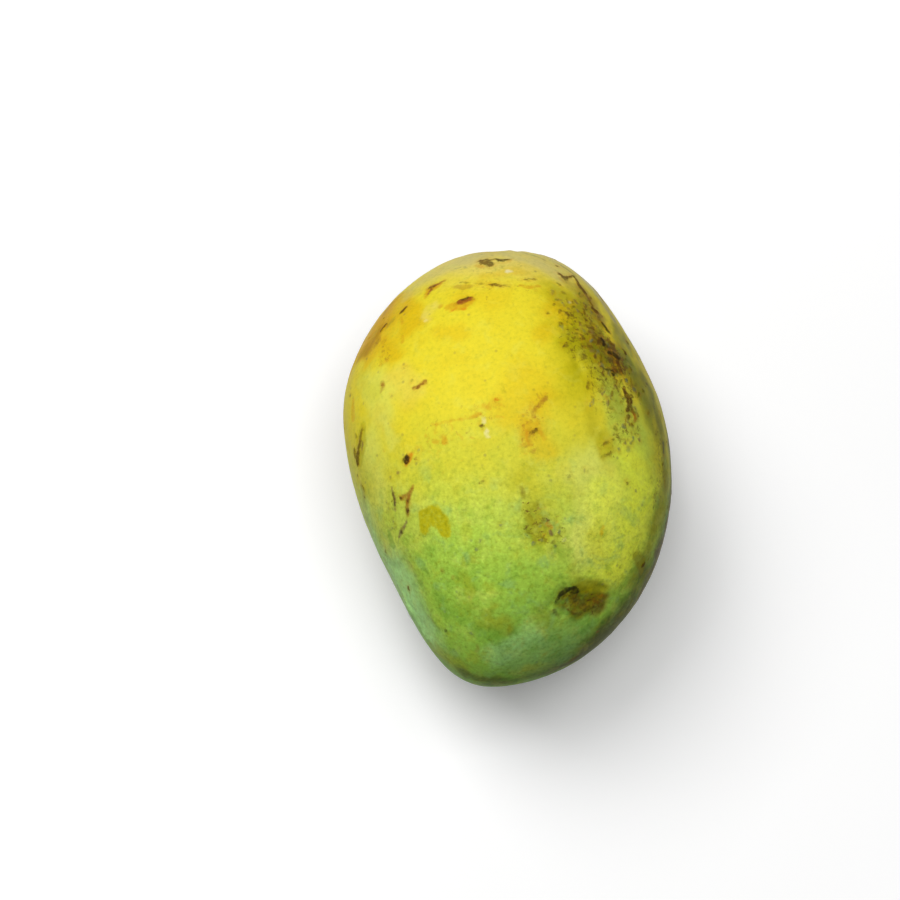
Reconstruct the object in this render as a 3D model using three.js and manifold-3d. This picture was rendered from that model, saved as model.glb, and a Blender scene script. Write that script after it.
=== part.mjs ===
// A ripe mango as picked: the fruit, lying on one cheek, and the dry stub of its stalk.
//
// Millimetres, +Z up. The origin is the centre of the small flat that the fruit rests on.
// +Y runs to the stalk, -Y to the tip, +X to the rounded back and -X to the belly, whose
// outline turns hollow above the tip. The two cheeks face up and down.
import * as THREE from "three";
import { mergeVertices } from "three/addons/utils/BufferGeometryUtils.js";
import Module from "manifold-3d";

const wasm = await Module();
wasm.setup();

// Driving dimensions.
const LENGTH = 118.5;
const WIDTH = 87.6;
const THICKNESS = 75;
const FLAT_DEPTH = 0.6; // how much of the lower cheek the flat takes off
const BASIN_RADIUS = 8; // the dimple round the stalk falls to a third of its depth here
const BASIN_DEPTH = 2.2;
const STUB_RADIUS = 5.2;
const STUB_HEIGHT = 1.5; // above the floor of the basin
const ROOT_RADIUS = 3;
const ROOT_DEPTH = 3.2; // how far the stub is let into the fruit
const GAP = 0.3; // between the stub and its socket
const STATIONS = 58; // sections from the stalk to the tip
const SECTION_SIDES = 64;
const STUB_SIDES = 30;

// The plan and side views are drawn with curves whose ends and handles are shares of the
// length, width and thickness, measured from the middle of the fruit.
const plan = (x, y) => new THREE.Vector2(x * WIDTH, y * LENGTH);
const side = (z, y) => new THREE.Vector2(z * THICKNESS, y * LENGTH);
const STALK = plan(0, 0.5);
const SHOULDER = plan(0.366, 0.304); // the back runs almost straight here
const BACK = plan(0.5, -0.028);
const BELLY = plan(-0.5, 0.132);
const SINUS = plan(-0.345, -0.264); // where the belly's outline turns from full to hollow
const TIP = plan(-0.06, -0.5);
const SHOULDER_SLOPE = plan(0.095, -0.128); // runs down the back
const SINUS_SLOPE = plan(-0.04, 0.057); // runs up the belly
const CHEEK = side(0.5, 0.015);

const right = (point, by) => new THREE.Vector2(point.x + by, point.y);
const up = (point, by) => new THREE.Vector2(point.x, point.y + by);
const along = (point, slope, by) => point.clone().addScaledVector(slope, by);
const curve = (...points) => new THREE.CubicBezierCurve(...points);

const backOutline = [
  curve(STALK, right(STALK, 0.21 * WIDTH), along(SHOULDER, SHOULDER_SLOPE, -0.75), SHOULDER),
  curve(SHOULDER, along(SHOULDER, SHOULDER_SLOPE, 1), up(BACK, 0.12 * LENGTH), BACK),
  curve(BACK, up(BACK, -0.245 * LENGTH), right(TIP, 0.33 * WIDTH), TIP),
];
const bellyOutline = [
  curve(STALK, right(STALK, -0.345 * WIDTH), up(BELLY, 0.105 * LENGTH), BELLY),
  curve(BELLY, up(BELLY, -0.18 * LENGTH), along(SINUS, SINUS_SLOPE, 1), SINUS),
  curve(SINUS, along(SINUS, SINUS_SLOPE, -1.2), right(TIP, -0.15 * WIDTH), TIP),
];
const cheekOutline = [
  curve(side(0, 0.5), side(0.33, 0.5), up(CHEEK, 0.25 * LENGTH), CHEEK),
  curve(CHEEK, up(CHEEK, -0.31 * LENGTH), side(0.23, -0.5), side(0, -0.5)),
];
// The crest of each cheek, seen from above: it bows a little towards the back.
const crest = [new THREE.QuadraticBezierCurve(STALK, plan(0.04, 0), TIP)];

// How far out a view's outline reaches at the height y. Each curve runs down from the stalk.
function reach(outline, y) {
  const piece = outline.find((c) => y >= c.getPoint(1).y) ?? outline.at(-1);
  let low = 0;
  let high = 1;
  for (let step = 0; step < 40; step++) {
    const middle = (low + high) / 2;
    if (piece.getPoint(middle).y > y) low = middle;
    else high = middle;
  }
  return piece.getPoint((low + high) / 2).x;
}

// A closed grid: a point at each end and rings of the same number of points between them.
function closedRings(first, rings, last) {
  const sides = rings[0].length;
  const points = [first, ...rings.flat(), last];
  const faces = [];
  const at = (ring, k) => 1 + ring * sides + (k % sides);
  for (let k = 0; k < sides; k++) {
    faces.push(0, at(0, k + 1), at(0, k));
    for (let ring = 1; ring < rings.length; ring++) {
      faces.push(at(ring - 1, k), at(ring, k + 1), at(ring, k));
      faces.push(at(ring - 1, k), at(ring - 1, k + 1), at(ring, k + 1));
    }
    faces.push(points.length - 1, at(rings.length - 1, k), at(rings.length - 1, k + 1));
  }
  const geometry = new THREE.BufferGeometry().setFromPoints(points);
  return geometry.setIndex(faces);
}

// Sinks a point near the stalk into the basin.
function intoBasin(point) {
  const spread = Math.hypot(point.x - STALK.x, point.z) / BASIN_RADIUS;
  if (point.y > 0) point.y -= BASIN_DEPTH * Math.exp(-spread * spread);
  return point;
}

// The whole fruit with no flat and no socket. Each section is two half ellipses, one out to
// the back and one out to the belly, which meet on the crests of the cheeks.
function fruitBody() {
  const middle = (STALK.y + TIP.y) / 2;
  const half = (STALK.y - TIP.y) / 2;
  const rings = [];
  for (let station = 1; station < STATIONS; station++) {
    const y = middle + half * Math.cos((Math.PI * station) / STATIONS);
    const spine = reach(crest, y);
    const toBack = reach(backOutline, y) - spine;
    const toBelly = spine - reach(bellyOutline, y);
    const toCheek = reach(cheekOutline, y);
    const ring = [];
    for (let k = 0; k < SECTION_SIDES; k++) {
      const angle = (2 * Math.PI * k) / SECTION_SIDES;
      const across = Math.cos(angle) * (Math.cos(angle) > 0 ? toBack : toBelly);
      ring.push(intoBasin(new THREE.Vector3(spine + across, y, Math.sin(angle) * toCheek)));
    }
    rings.push(ring);
  }
  const stalkEnd = intoBasin(new THREE.Vector3(STALK.x, STALK.y, 0));
  return closedRings(stalkEnd, rings, new THREE.Vector3(TIP.x, TIP.y, 0));
}

// The stub is a low corky button on a short root. Its rim is lobed, and grown by the
// clearance it is also the tool that cuts the socket.
function stubBody(clearance) {
  const rootRadius = ROOT_RADIUS + clearance;
  const rim = STUB_RADIUS + clearance;
  const button = new THREE.SplineCurve([
    new THREE.Vector2(rootRadius, -0.3 - clearance),
    new THREE.Vector2(rim * 0.9, 0.1 - clearance),
    new THREE.Vector2(rim, STUB_HEIGHT * 0.4),
    new THREE.Vector2(rim * 0.84, STUB_HEIGHT * 0.82),
    new THREE.Vector2(rim * 0.45, STUB_HEIGHT),
    new THREE.Vector2(0, STUB_HEIGHT * 0.9),
  ]);
  const foot = -ROOT_DEPTH - clearance;
  const root = [new THREE.Vector2(0, foot), new THREE.Vector2(rootRadius, foot)];
  const geometry = new THREE.LatheGeometry([...root, ...button.getPoints(12)], STUB_SIDES);
  const position = geometry.getAttribute("position");
  for (let i = 0; i < position.count; i++) {
    const turn = Math.atan2(position.getX(i), position.getZ(i));
    const lobes = 1 + 0.07 * Math.cos(3 * turn + 0.6) + 0.04 * Math.cos(5 * turn);
    position.setX(i, position.getX(i) * lobes);
    position.setZ(i, position.getZ(i) * lobes);
  }
  return geometry.translate(STALK.x, STALK.y - BASIN_DEPTH, 0);
}

// A closed geometry as a manifold-3d solid, and back again.
function toSolid(geometry) {
  const bare = new THREE.BufferGeometry().setAttribute("position", geometry.getAttribute("position"));
  const merged = mergeVertices(bare.setIndex(geometry.getIndex()), 1e-3);
  return new wasm.Manifold(
    new wasm.Mesh({
      numProp: 3,
      vertProperties: new Float32Array(merged.getAttribute("position").array),
      triVerts: new Uint32Array(merged.getIndex().array),
    }),
  );
}

function toGeometry(solid) {
  const { vertProperties, triVerts } = solid.getMesh();
  const geometry = new THREE.BufferGeometry();
  geometry.setAttribute("position", new THREE.BufferAttribute(vertProperties, 3));
  geometry.setIndex(new THREE.BufferAttribute(triVerts, 1));
  geometry.computeVertexNormals();
  return geometry;
}

const floorLevel = FLAT_DEPTH - THICKNESS / 2;

function fruitGeometry() {
  const below = new THREE.BoxGeometry(WIDTH, LENGTH, THICKNESS);
  below.translate(0, 0, floorLevel - THICKNESS / 2);
  return toGeometry(toSolid(fruitBody()).subtract(toSolid(stubBody(GAP))).subtract(toSolid(below)));
}

function piece(name, geometry, color, roughness) {
  const material = new THREE.MeshStandardMaterial({ color, roughness, metalness: 0 });
  const mesh = new THREE.Mesh(geometry, material);
  mesh.name = name;
  return mesh;
}

const mango = new THREE.Group();
mango.add(piece("fruit", fruitGeometry(), 0xcfc843, 0.45));
mango.add(piece("stem_stub", toGeometry(toSolid(stubBody(0))), 0x33261c, 0.85));
mango.position.set(-reach(crest, CHEEK.y), -CHEEK.y, -floorLevel);

export default mango;
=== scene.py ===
# %% [markdown]
# # A ripe mango, lying on one cheek
# This lesson dresses a plain solid mango as a real one: yellow skin that is still green
# towards the tip, with the scabs, stains and specks that a mango picks up on the tree, and
# the dry corky stub of its stalk. The solid is already there. It gives the size, and where
# the fruit rests, and nothing here changes either.

import math
import random

import bmesh
import bpy
import numpy as np
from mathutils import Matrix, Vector, bvhtree, noise


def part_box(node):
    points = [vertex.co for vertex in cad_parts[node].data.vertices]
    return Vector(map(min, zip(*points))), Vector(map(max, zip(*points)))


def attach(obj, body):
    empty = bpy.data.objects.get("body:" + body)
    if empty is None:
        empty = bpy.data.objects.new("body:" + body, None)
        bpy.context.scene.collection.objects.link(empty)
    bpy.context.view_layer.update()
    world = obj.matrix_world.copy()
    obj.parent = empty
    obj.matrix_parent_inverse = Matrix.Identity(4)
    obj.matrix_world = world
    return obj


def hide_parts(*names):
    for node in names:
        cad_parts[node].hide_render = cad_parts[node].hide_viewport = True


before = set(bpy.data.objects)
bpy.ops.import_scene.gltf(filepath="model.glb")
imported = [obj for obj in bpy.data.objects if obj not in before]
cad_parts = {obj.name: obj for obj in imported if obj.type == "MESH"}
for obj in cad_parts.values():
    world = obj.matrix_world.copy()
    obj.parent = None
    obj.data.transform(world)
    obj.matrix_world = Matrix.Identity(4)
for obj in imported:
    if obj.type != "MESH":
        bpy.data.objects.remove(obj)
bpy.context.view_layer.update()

# %% [markdown]
# ## The camera
# The fruit lies on its cheek, so the eye looks down on it, from 76 degrees above the table.
# A long lens from two thirds of a metre keeps the outline close to the real one, and a wide
# lens would swell the near cheek. `MIDDLE` is the fruit's middle. The marks on the skin are
# placed later by sighting from this same eye, so both live in this cell.

# %% Camera
MM = 0.001
MIDDLE = Vector((0, -1, 37)) * MM
EYE_ELEVATION = math.radians(76)
EYE_DISTANCE = 667 * MM
RIGHTWARD = Vector((1, 0, 0))
UPWARD = Vector((0, math.sin(EYE_ELEVATION), math.cos(EYE_ELEVATION)))
TO_EYE = Vector((0, -math.cos(EYE_ELEVATION), math.sin(EYE_ELEVATION)))
# The fruit stands a little to the right of the view's middle, and a little below it.
AIM = MIDDLE - RIGHTWARD * 15.7 * MM + UPWARD * 3.3 * MM
EYE = AIM + TO_EYE * EYE_DISTANCE

camera = bpy.data.objects.new("camera", bpy.data.cameras.new("camera"))
bpy.context.scene.collection.objects.link(camera)
camera.location = EYE
camera.rotation_euler = (-TO_EYE).to_track_quat("-Z", "Y").to_euler()
camera.data.lens = 100
camera.data.sensor_width = 36
camera.data.clip_start = 0.05
bpy.context.scene.camera = camera
print("the eye is at", [round(value, 3) for value in EYE])

# %% [markdown]
# ## The skin's form
# A ball made of one cube, cut into a grid and blown round, has no poles, so no place where
# faces pinch. Each of its points is dropped onto the solid, which is a little faceted, and
# two levels of subdivision turn the coarse cage into a smooth skin. A ball from rings and
# segments would be quicker to make, but it bunches up at the stalk, just where the detail is.

# %% A cage dropped onto the solid
CAGE_CUTS = 31
STALK_AXIS = Vector((-0.5, 0, 36.9)) * MM  # the stalk runs along Y through this point
SOCKET_REACH = 6.4 * MM  # the solid's hole for the stub is narrower than this
SAME_PLACE = 0.01 * MM  # points closer together than this are one point


def solid_surface(node):
    """A CAD node's surface, merged in a copy, ready to be hit by rays."""
    copy = bmesh.new()
    copy.from_mesh(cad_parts[node].data)
    bmesh.ops.remove_doubles(copy, verts=copy.verts[:], dist=SAME_PLACE)
    tree = bvhtree.BVHTree.FromBMesh(copy)
    copy.free()
    return tree


def from_stalk(point):
    """How far a point is from the line of the stalk."""
    return math.hypot(point[0] - STALK_AXIS.x, point[2] - STALK_AXIS.z)


fruit_solid = solid_surface("fruit")
half_size = (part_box("fruit")[1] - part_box("fruit")[0]) / 2
cage = bmesh.new()
bmesh.ops.create_cube(cage, size=2)
bmesh.ops.subdivide_edges(cage, edges=cage.edges[:], cuts=CAGE_CUTS, use_grid_fill=True)
for vertex in cage.verts:
    # The tangent evens out the squares, which would be small at the cube's corners.
    even = Vector([math.tan(value * math.pi / 4) for value in vertex.co]).normalized()
    outside = MIDDLE + Vector([2 * share * half for share, half in zip(even, half_size)])
    vertex.co = fruit_solid.ray_cast(outside, MIDDLE - outside)[0]
print("the cage has", len(cage.faces), "faces")

# %% [markdown]
# Rays that fall into the stub's socket land too deep. Those points are relaxed until they
# span the hole like a drum skin, and are then pushed down into a soft dimple, because the
# skin of a mango dips where the stalk comes out.

# %% Close the socket and smooth the cage
DIMPLE_DEPTH = 1.3 * MM
DIMPLE_RADIUS = 4.5 * MM
DRUM_ROUNDS = 80  # enough for the points over the hole to come level
EVEN_ROUNDS = 3  # few enough to keep the fruit's shape


def relax(form, points, rounds):
    """Moves points towards the middle of their neighbours, round after round."""
    for number in range(rounds):
        bmesh.ops.smooth_vert(
            form, verts=points, factor=0.5, use_axis_x=True, use_axis_y=True, use_axis_z=True
        )


over_socket = [v for v in cage.verts if v.co.y > 0 and from_stalk(v.co) < SOCKET_REACH]
relax(cage, over_socket, DRUM_ROUNDS)
for vertex in over_socket:
    vertex.co.y -= DIMPLE_DEPTH * math.exp(-((from_stalk(vertex.co) / DIMPLE_RADIUS) ** 2))
relax(cage, cage.verts[:], EVEN_ROUNDS)
print(len(over_socket), "points span the socket")

# %% [markdown]
# The cage becomes an object, and the subdivision is worked out at once, not left to a live
# modifier, because everything that follows is placed on the smooth skin.

# %% From cage to skin
SUBDIVISIONS = 2


def piece_from(form, name):
    """An object in the scene, made from a bmesh, which is used up."""
    mesh = bpy.data.meshes.new(name)
    form.to_mesh(mesh)
    form.free()
    piece = bpy.data.objects.new(name, mesh)
    bpy.context.scene.collection.objects.link(piece)
    return piece


def subdivide(piece, levels):
    """Replaces a piece's mesh by its subdivided form."""
    modifier = piece.modifiers.new("smooth", "SUBSURF")
    modifier.levels = modifier.render_levels = levels
    bpy.context.view_layer.update()
    graph = bpy.context.evaluated_depsgraph_get()
    finished = bpy.data.meshes.new_from_object(piece.evaluated_get(graph))
    piece.modifiers.clear()
    piece.data = finished


skin = piece_from(cage, "mango_skin")
subdivide(skin, SUBDIVISIONS)
print("the skin has", len(skin.data.polygons), "faces")

# %% [markdown]
# ## Placing things on the skin
# Marks are placed in three ways, each a ray that ends on the skin: `sight` looks from the
# eye, with millimetres to the right of and above the fruit's middle; `around` turns about
# the fruit's length, from the top cheek over the back; `stalk_end` looks along the stalk.

# %% Sighting
OUTSIDE = 0.1  # metres, from the core to well outside the fruit

skin_surface = bvhtree.BVHTree.FromPolygons(
    [vertex.co for vertex in skin.data.vertices], [face.vertices for face in skin.data.polygons]
)


def sight(rightward, upward):
    """Where the eye meets the skin, in mm from the fruit's middle as the eye sees it."""
    through = MIDDLE + RIGHTWARD * rightward * MM + UPWARD * upward * MM
    return skin_surface.ray_cast(EYE, through - EYE)[0]


def around(turn, along):
    """The skin at a turn in degrees about the fruit's length, and at mm along it."""
    angle = math.radians(turn)
    outward = Vector((math.sin(angle), 0, math.cos(angle)))
    core = Vector((MIDDLE.x, along * MM, MIDDLE.z))
    return skin_surface.ray_cast(core + outward * OUTSIDE, -outward)[0]


def stalk_end(rightward, upward):
    """The skin as met along the stalk, in mm from the stalk's middle."""
    start = STALK_AXIS + Vector((rightward * MM, OUTSIDE, upward * MM))
    return skin_surface.ray_cast(start, Vector((0, -1, 0)))[0]


print("the eye meets the skin at", sight(0, 0))

# %% [markdown]
# ## Numbers for every point of the skin
# A mark is described once, as a stroke: a line of points, each with the stroke's half-width
# there. For every point of the skin we then work out how far outside the stroke it is. That
# one number can press a dent, fade a colour, or be cut off sharply by the material, which
# keeps an edge crisp even where the mesh is coarser than the mark. A painted picture would
# need the skin unrolled flat, and would blur close up.

# %% Points and clouds
FINER = 2.0  # each further octave of noise has waves this many times shorter
WEAKER = 1.0  # and how quickly they lose height


def points_of(mesh):
    flat = np.empty(len(mesh.vertices) * 3)
    mesh.vertices.foreach_get("co", flat)
    return flat.reshape(-1, 3)


def clouds(points, size, seed, octaves=2):
    """Soft noise from about -1 to 1, in patches of about the given size in millimetres."""
    shift = Vector((3.1, 7.7, 5.3)) * seed
    scale = 1 / (size * MM)
    places = [Vector(point) * scale + shift for point in points]
    heights = [
        noise.fractal(place, WEAKER, FINER, octaves, noise_basis="PERLIN_ORIGINAL") for place in places
    ]
    return np.array(heights)


def wandering(points, size, reach, seed):
    """The points moved about by clouds, so that what is drawn on them gets a natural edge."""
    drift = [clouds(points, size, seed + axis) for axis in range(3)]
    return points + np.stack(drift, axis=1) * reach * MM


rest = points_of(skin.data)
print(len(rest), "points on the skin")

# %% [markdown]
# A stroke is like a row of round beads of changing size with the gaps between them filled.
# Between two beads the distance is measured to the nearest place on the line that joins
# them, and the half-width there is in between as well.

# %% Strokes
NO_LENGTH = 1e-12  # keeps the sum in order where two points of a stroke fall together


def outside_stroke(points, stroke):
    """How many millimetres each point is outside a stroke, and below zero inside it."""
    centres = [np.array(place) for place, radius in stroke]
    radii = [radius for place, radius in stroke]
    nearest = np.linalg.norm(points - centres[0], axis=1) / MM - radii[0]
    for start, finish, first, last in zip(centres, centres[1:], radii, radii[1:]):
        run = finish - start
        share = np.clip((points - start) @ run / max(run @ run, NO_LENGTH), 0, 1)
        gap = np.linalg.norm(points - start - share[:, None] * run, axis=1) / MM
        nearest = np.minimum(nearest, gap - first - share * (last - first))
    return nearest


def smooth_step(low, high, value):
    """0 at low, 1 at high, and smooth between. Low may be the larger one."""
    share = np.clip((value - low) / (high - low), 0, 1)
    return share * share * (3 - 2 * share)


def seen(*stroke):
    """A stroke of (rightward, upward, half-width) points, sighted from the eye."""
    return [(sight(x, y), radius) for x, y, radius in stroke]


def turned(*stroke):
    """A stroke of (turn, along, half-width) points, placed round the fruit."""
    return [(around(turn, along), radius) for turn, along, radius in stroke]


def at_stalk(*stroke):
    """A stroke of (rightward, upward, half-width) points on the stalk end."""
    return [(stalk_end(x, z), radius) for x, z, radius in stroke]


farthest = outside_stroke(rest, at_stalk((0, 0, 1))).max()
print("the farthest point is", farthest.round(1), "mm from the stalk")

# %% [markdown]
# ## Colours
# The colours of this skin have names, with red, green and blue from 0 to 255 as a paint
# program shows them. Blender mixes light, not screen values, so `pigment` converts them.

# %% Palette
PALETTE = {
    "butter": (232, 214, 104),
    "yellow": (233, 216, 48),
    "citron": (214, 210, 58),
    "lime": (194, 212, 76),
    "zest": (240, 250, 74),
    "leaf": (168, 206, 72),
    "green": (150, 196, 72),
    "deep": (108, 158, 46),
    "jade": (140, 186, 104),
    "mint": (184, 236, 150),
    "sage": (224, 230, 104),
    "fern": (122, 136, 44),
    "gold": (224, 184, 12),
    "mustard": (184, 176, 10),
    "olive": (146, 140, 10),
    "moss": (84, 90, 12),
    "amber": (206, 140, 16),
    "orange": (218, 112, 14),
    "rust": (150, 78, 30),
    "umber": (84, 54, 20),
    "soot": (30, 24, 14),
    "plum": (112, 78, 64),
    "slate": (104, 112, 82),
    "beige": (206, 194, 128),
    "cream": (240, 230, 176),
}


def pigment(name):
    """A named colour as amounts of light, by the usual curve of a screen."""
    shares = [value / 255 for value in PALETTE[name]]
    return [((s + 0.055) / 1.055) ** 2.4 if s > 0.04045 else s / 12.92 for s in shares]


print(len(PALETTE), "colours")

# %% [markdown]
# ## The ground colour
# A mango ripens from the stalk down, and first on the cheek that gets the sun. The ground is
# painted on the points of the mesh, as an airbrush would: first the run from yellow to
# green along the fruit, then soft washes over it. The points are first moved about a little,
# so that no wash keeps the smooth edge of the stroke that it was drawn with.

# %% Ripeness
RIPENING = (
    # colour, and where it starts and is full, in mm along the fruit from its middle
    ("leaf", -54, -38),
    ("lime", -38, -24),
    ("citron", -24, -8),
    ("yellow", -8, 12),
    ("butter", 38, 52),
)
LAG = 10  # mm by which the under side and the back ripen later
UNEVENNESS = 5  # mm

roughly_adrift = wandering(rest, 16, 2.2, seed=1)
adrift = wandering(roughly_adrift, 4.5, 1.8, seed=21)
along, sideways, height = adrift[:, 1] / MM, adrift[:, 0] / MM, adrift[:, 2] / MM
under = smooth_step(34, 10, height)
back = smooth_step(33, 46, sideways)
ripeness = along + UNEVENNESS * clouds(rest, 24, seed=5) - LAG * under - LAG * back


def laid_over(ground, name, share):
    """A colour laid over the ground, by each point's share of it."""
    share = share[:, None]
    return ground * (1 - share) + np.array(pigment(name)) * share


ground = np.tile(pigment("green"), (len(rest), 1))
for name, start, finish in RIPENING:
    ground = laid_over(ground, name, smooth_step(start, finish, ripeness))
print("the ground runs from", ground.min(axis=0).round(3), "to", ground.max(axis=0).round(3))

# %% [markdown]
# ## Washes
# Each wash is a colour, how strongly it covers, how many millimetres it takes to fade out,
# and its stroke, and later washes lie over earlier ones. Noise alone could vary the colour
# too, but it wouldn't know where the sun tanned this fruit and where it was pressed. The
# cheek that faces the eye comes first, from the stalk down, and it starts with the warm
# flush along the belly's shoulder and the golden patches beside it.

# %% The flush on the belly's shoulder
WASHES = [
    ("gold", 0.7, 5, seen((-28, 43.5, 1), (-32, 37.5, 2), (-36, 30, 1.5))),
    ("amber", 0.7, 4, seen((-30.5, 43, 1), (-34.6, 36.5, 1.6), (-38.4, 29.6, 1))),
    ("umber", 0.4, 3, seen((-34.8, 35.6, 0.3), (-36.8, 32, 0.5), (-38.2, 29.6, 0.3))),
    ("amber", 0.35, 11, turned((272, 40, 1), (276, 32, 1.4), (275, 24, 1))),
    ("umber", 0.35, 1.4, seen((-31.4, 38.6, 0.3), (-33.4, 35.6, 0.3))),
    ("umber", 0.3, 1.6, seen((-30.4, 43.2, 0.3), (-33.2, 39.6, 0.3))),
    ("gold", 0.75, 4.5, seen((-26.5, 43, 1), (-25, 39, 2), (-28, 35, 1))),
    ("gold", 0.7, 3.5, seen((-33, 31.5, 1), (-30.5, 29.5, 1))),
    ("gold", 0.4, 4, seen((-17.5, 34.8, 1), (-13.5, 34, 1.4))),
    ("gold", 0.3, 5, seen((-12, 45, 1), (-4, 44, 1))),
    ("butter", 0.6, 1.8, seen((-19.5, 43, 0.3), (-21.8, 39.2, 0.3))),
    ("gold", 0.35, 3, seen((-7, 49.6, 0.6), (3, 50, 0.5))),
    # Painted sheen: pale beige along the top edge, where the skin turns away towards the stalk.
    ("beige", 0.4, 5, seen((-25.5, 46.4, 0.5), (-17, 51.6, 0.5), (-8, 55, 0.5))),
    ("beige", 0.45, 4, seen((8, 53.5, 1), (13, 50.5, 1))),
    ("beige", 0.45, 3, seen((-1.6, 56, 0.4), (2.6, 54.4, 0.6))),
]
print(len(WASHES), "washes so far")

# %% [markdown]
# Down the belly side the skin is paler: the two broad sage washes there are a painted
# sheen along that edge. Sharp yellows show through it.

# %% Yellows down the belly side
WASHES += [
    # Painted sheen: broad pale sage along the belly's edge.
    ("sage", 0.55, 6, seen((-36, 22, 1.5), (-33, 13, 2))),
    ("sage", 0.6, 6, seen((-36.5, 4, 1.5), (-34.5, -7, 2))),
    ("yellow", 0.6, 3, seen((-29, 17, 0.5), (-27, 10, 1), (-26, 4, 0.6))),
    ("sage", 0.5, 2.2, seen((-33, 11.5, 0.4), (-30.5, 6, 0.6))),
    ("butter", 0.35, 5, seen((-30, 23, 1), (-26, 19, 1))),
    ("citron", 0.5, 4, seen((-38, 24, 0.6), (-35, 18, 0.6))),
    ("mustard", 0.3, 6, seen((-37.4, -4, 1), (-36, -15, 1))),
]
print(len(WASHES), "washes so far")

# %% [markdown]
# A warm streak lies down the middle of the cheek, and goes on towards the tip as a dull one.

# %% The streak down the middle
WASHES += [
    ("gold", 0.55, 5, seen((10, 17, 1), (7, 11, 1.2), (8, 4, 1.2))),
    ("amber", 0.3, 2.6, seen((6, 9, 0.6), (5.8, 5.6, 0.6))),
    ("gold", 0.35, 7, seen((0, 14, 2), (3, 22, 1))),
    ("mustard", 0.45, 5, seen((4, -4, 1), (7, -11, 1.2), (8, -17, 1.6))),
    ("olive", 0.4, 3, seen((6, -12.5, 0.8), (6.4, -16.4, 1), (9.6, -18, 0.6))),
    ("mustard", 0.35, 4, seen((9, -22, 1), (12, -21, 1))),
]
print(len(WASHES), "washes so far")

# %% [markdown]
# Between the stalk and the back the shoulder has weathered. Its gold turns to a dull olive.
# The pale beige and cream band outside the long scar that is drawn further on is a painted
# reflection along the rim, and the fern and slate beside it are a painted dark rim with a
# bluish-grey painted reflection.

# %% The weathered shoulder
WASHES += [
    ("mustard", 0.6, 6, seen((13, 45, 1.5), (18, 43, 2), (21, 37, 2))),
    ("mustard", 0.5, 8, seen((16, 38, 2), (18, 30, 2), (18, 20, 2))),
    ("umber", 0.6, 2.6, seen((16, 48.4, 0.5), (19, 44.8, 0.8), (22, 40.6, 1), (24.6, 36, 0.8))),
    ("plum", 0.5, 2.4, seen((19.6, 46.4, 0.4), (22.6, 42, 0.6), (25, 38, 0.5))),
    ("gold", 0.5, 3.5, seen((11.5, 41.5, 1), (14, 39, 1))),
    ("olive", 0.55, 4, seen((19.5, 43, 0.8), (22.5, 38, 1), (24.5, 34, 1))),
    ("mustard", 0.6, 6, seen((18, 33, 2), (24, 30, 2), (31, 27, 1.5))),
    ("olive", 0.75, 5, seen((23, 32, 1.5), (27, 28.6, 2), (26, 26, 1.4))),
    ("moss", 0.5, 3, seen((24.4, 30, 1), (27, 30.4, 0.8), (26.4, 26, 0.6))),
    ("umber", 0.45, 3.6, seen((25, 32.6, 0.6), (28.2, 28.6, 1.2), (29.4, 25.4, 0.6))),
    ("gold", 0.5, 1.6, seen((27.4, 34, 0.3), (29.6, 31.4, 0.5))),
    ("olive", 0.65, 1.8, seen((16, 28, 0.4), (17, 25.4, 0.5), (18.4, 23, 0.6))),
    ("mustard", 0.5, 3, seen((15, 25, 0.6), (19, 22, 0.8))),
    ("gold", 0.4, 3, seen((9, 33.5, 1), (10, 36, 0.8))),
    ("moss", 0.22, 6, seen((15, 44, 1), (19.6, 38, 2.4), (20, 31, 2), (24, 25, 2), (31, 23, 1.6))),
    ("umber", 0.22, 3, seen((18, 41, 0.6), (21, 36, 1.2), (21.6, 33, 0.8))),
    ("moss", 0.5, 3, seen((28.6, 35.6, 0.6), (30, 31.4, 1), (32, 26, 1.2))),
    # Painted reflection: a pale beige and cream band along the rim.
    ("beige", 0.85, 2.6, seen((18.4, 50.6, 0.6), (21.6, 47.6, 1.1), (24.8, 43.3, 1.4), (27.4, 39, 1))),
    ("cream", 0.75, 2, seen((19.4, 49.4, 0.4), (22.2, 46.4, 0.7), (24.4, 43.6, 0.5))),
    # Painted reflection and shade: bluish-grey slate and dark fern along the rim.
    ("slate", 0.32, 3, seen((27.6, 38.6, 0.3), (29.4, 35.2, 0.5), (31, 32, 0.4))),
    ("fern", 0.6, 3, seen((31, 33.4, 0.5), (33, 28.8, 0.6), (35.2, 23.4, 0.5))),
    ("slate", 0.3, 2.5, seen((31, 33.4, 0.5), (33, 28.8, 0.6), (35.2, 23.4, 0.5))),
]
print(len(WASHES), "washes so far")
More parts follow.
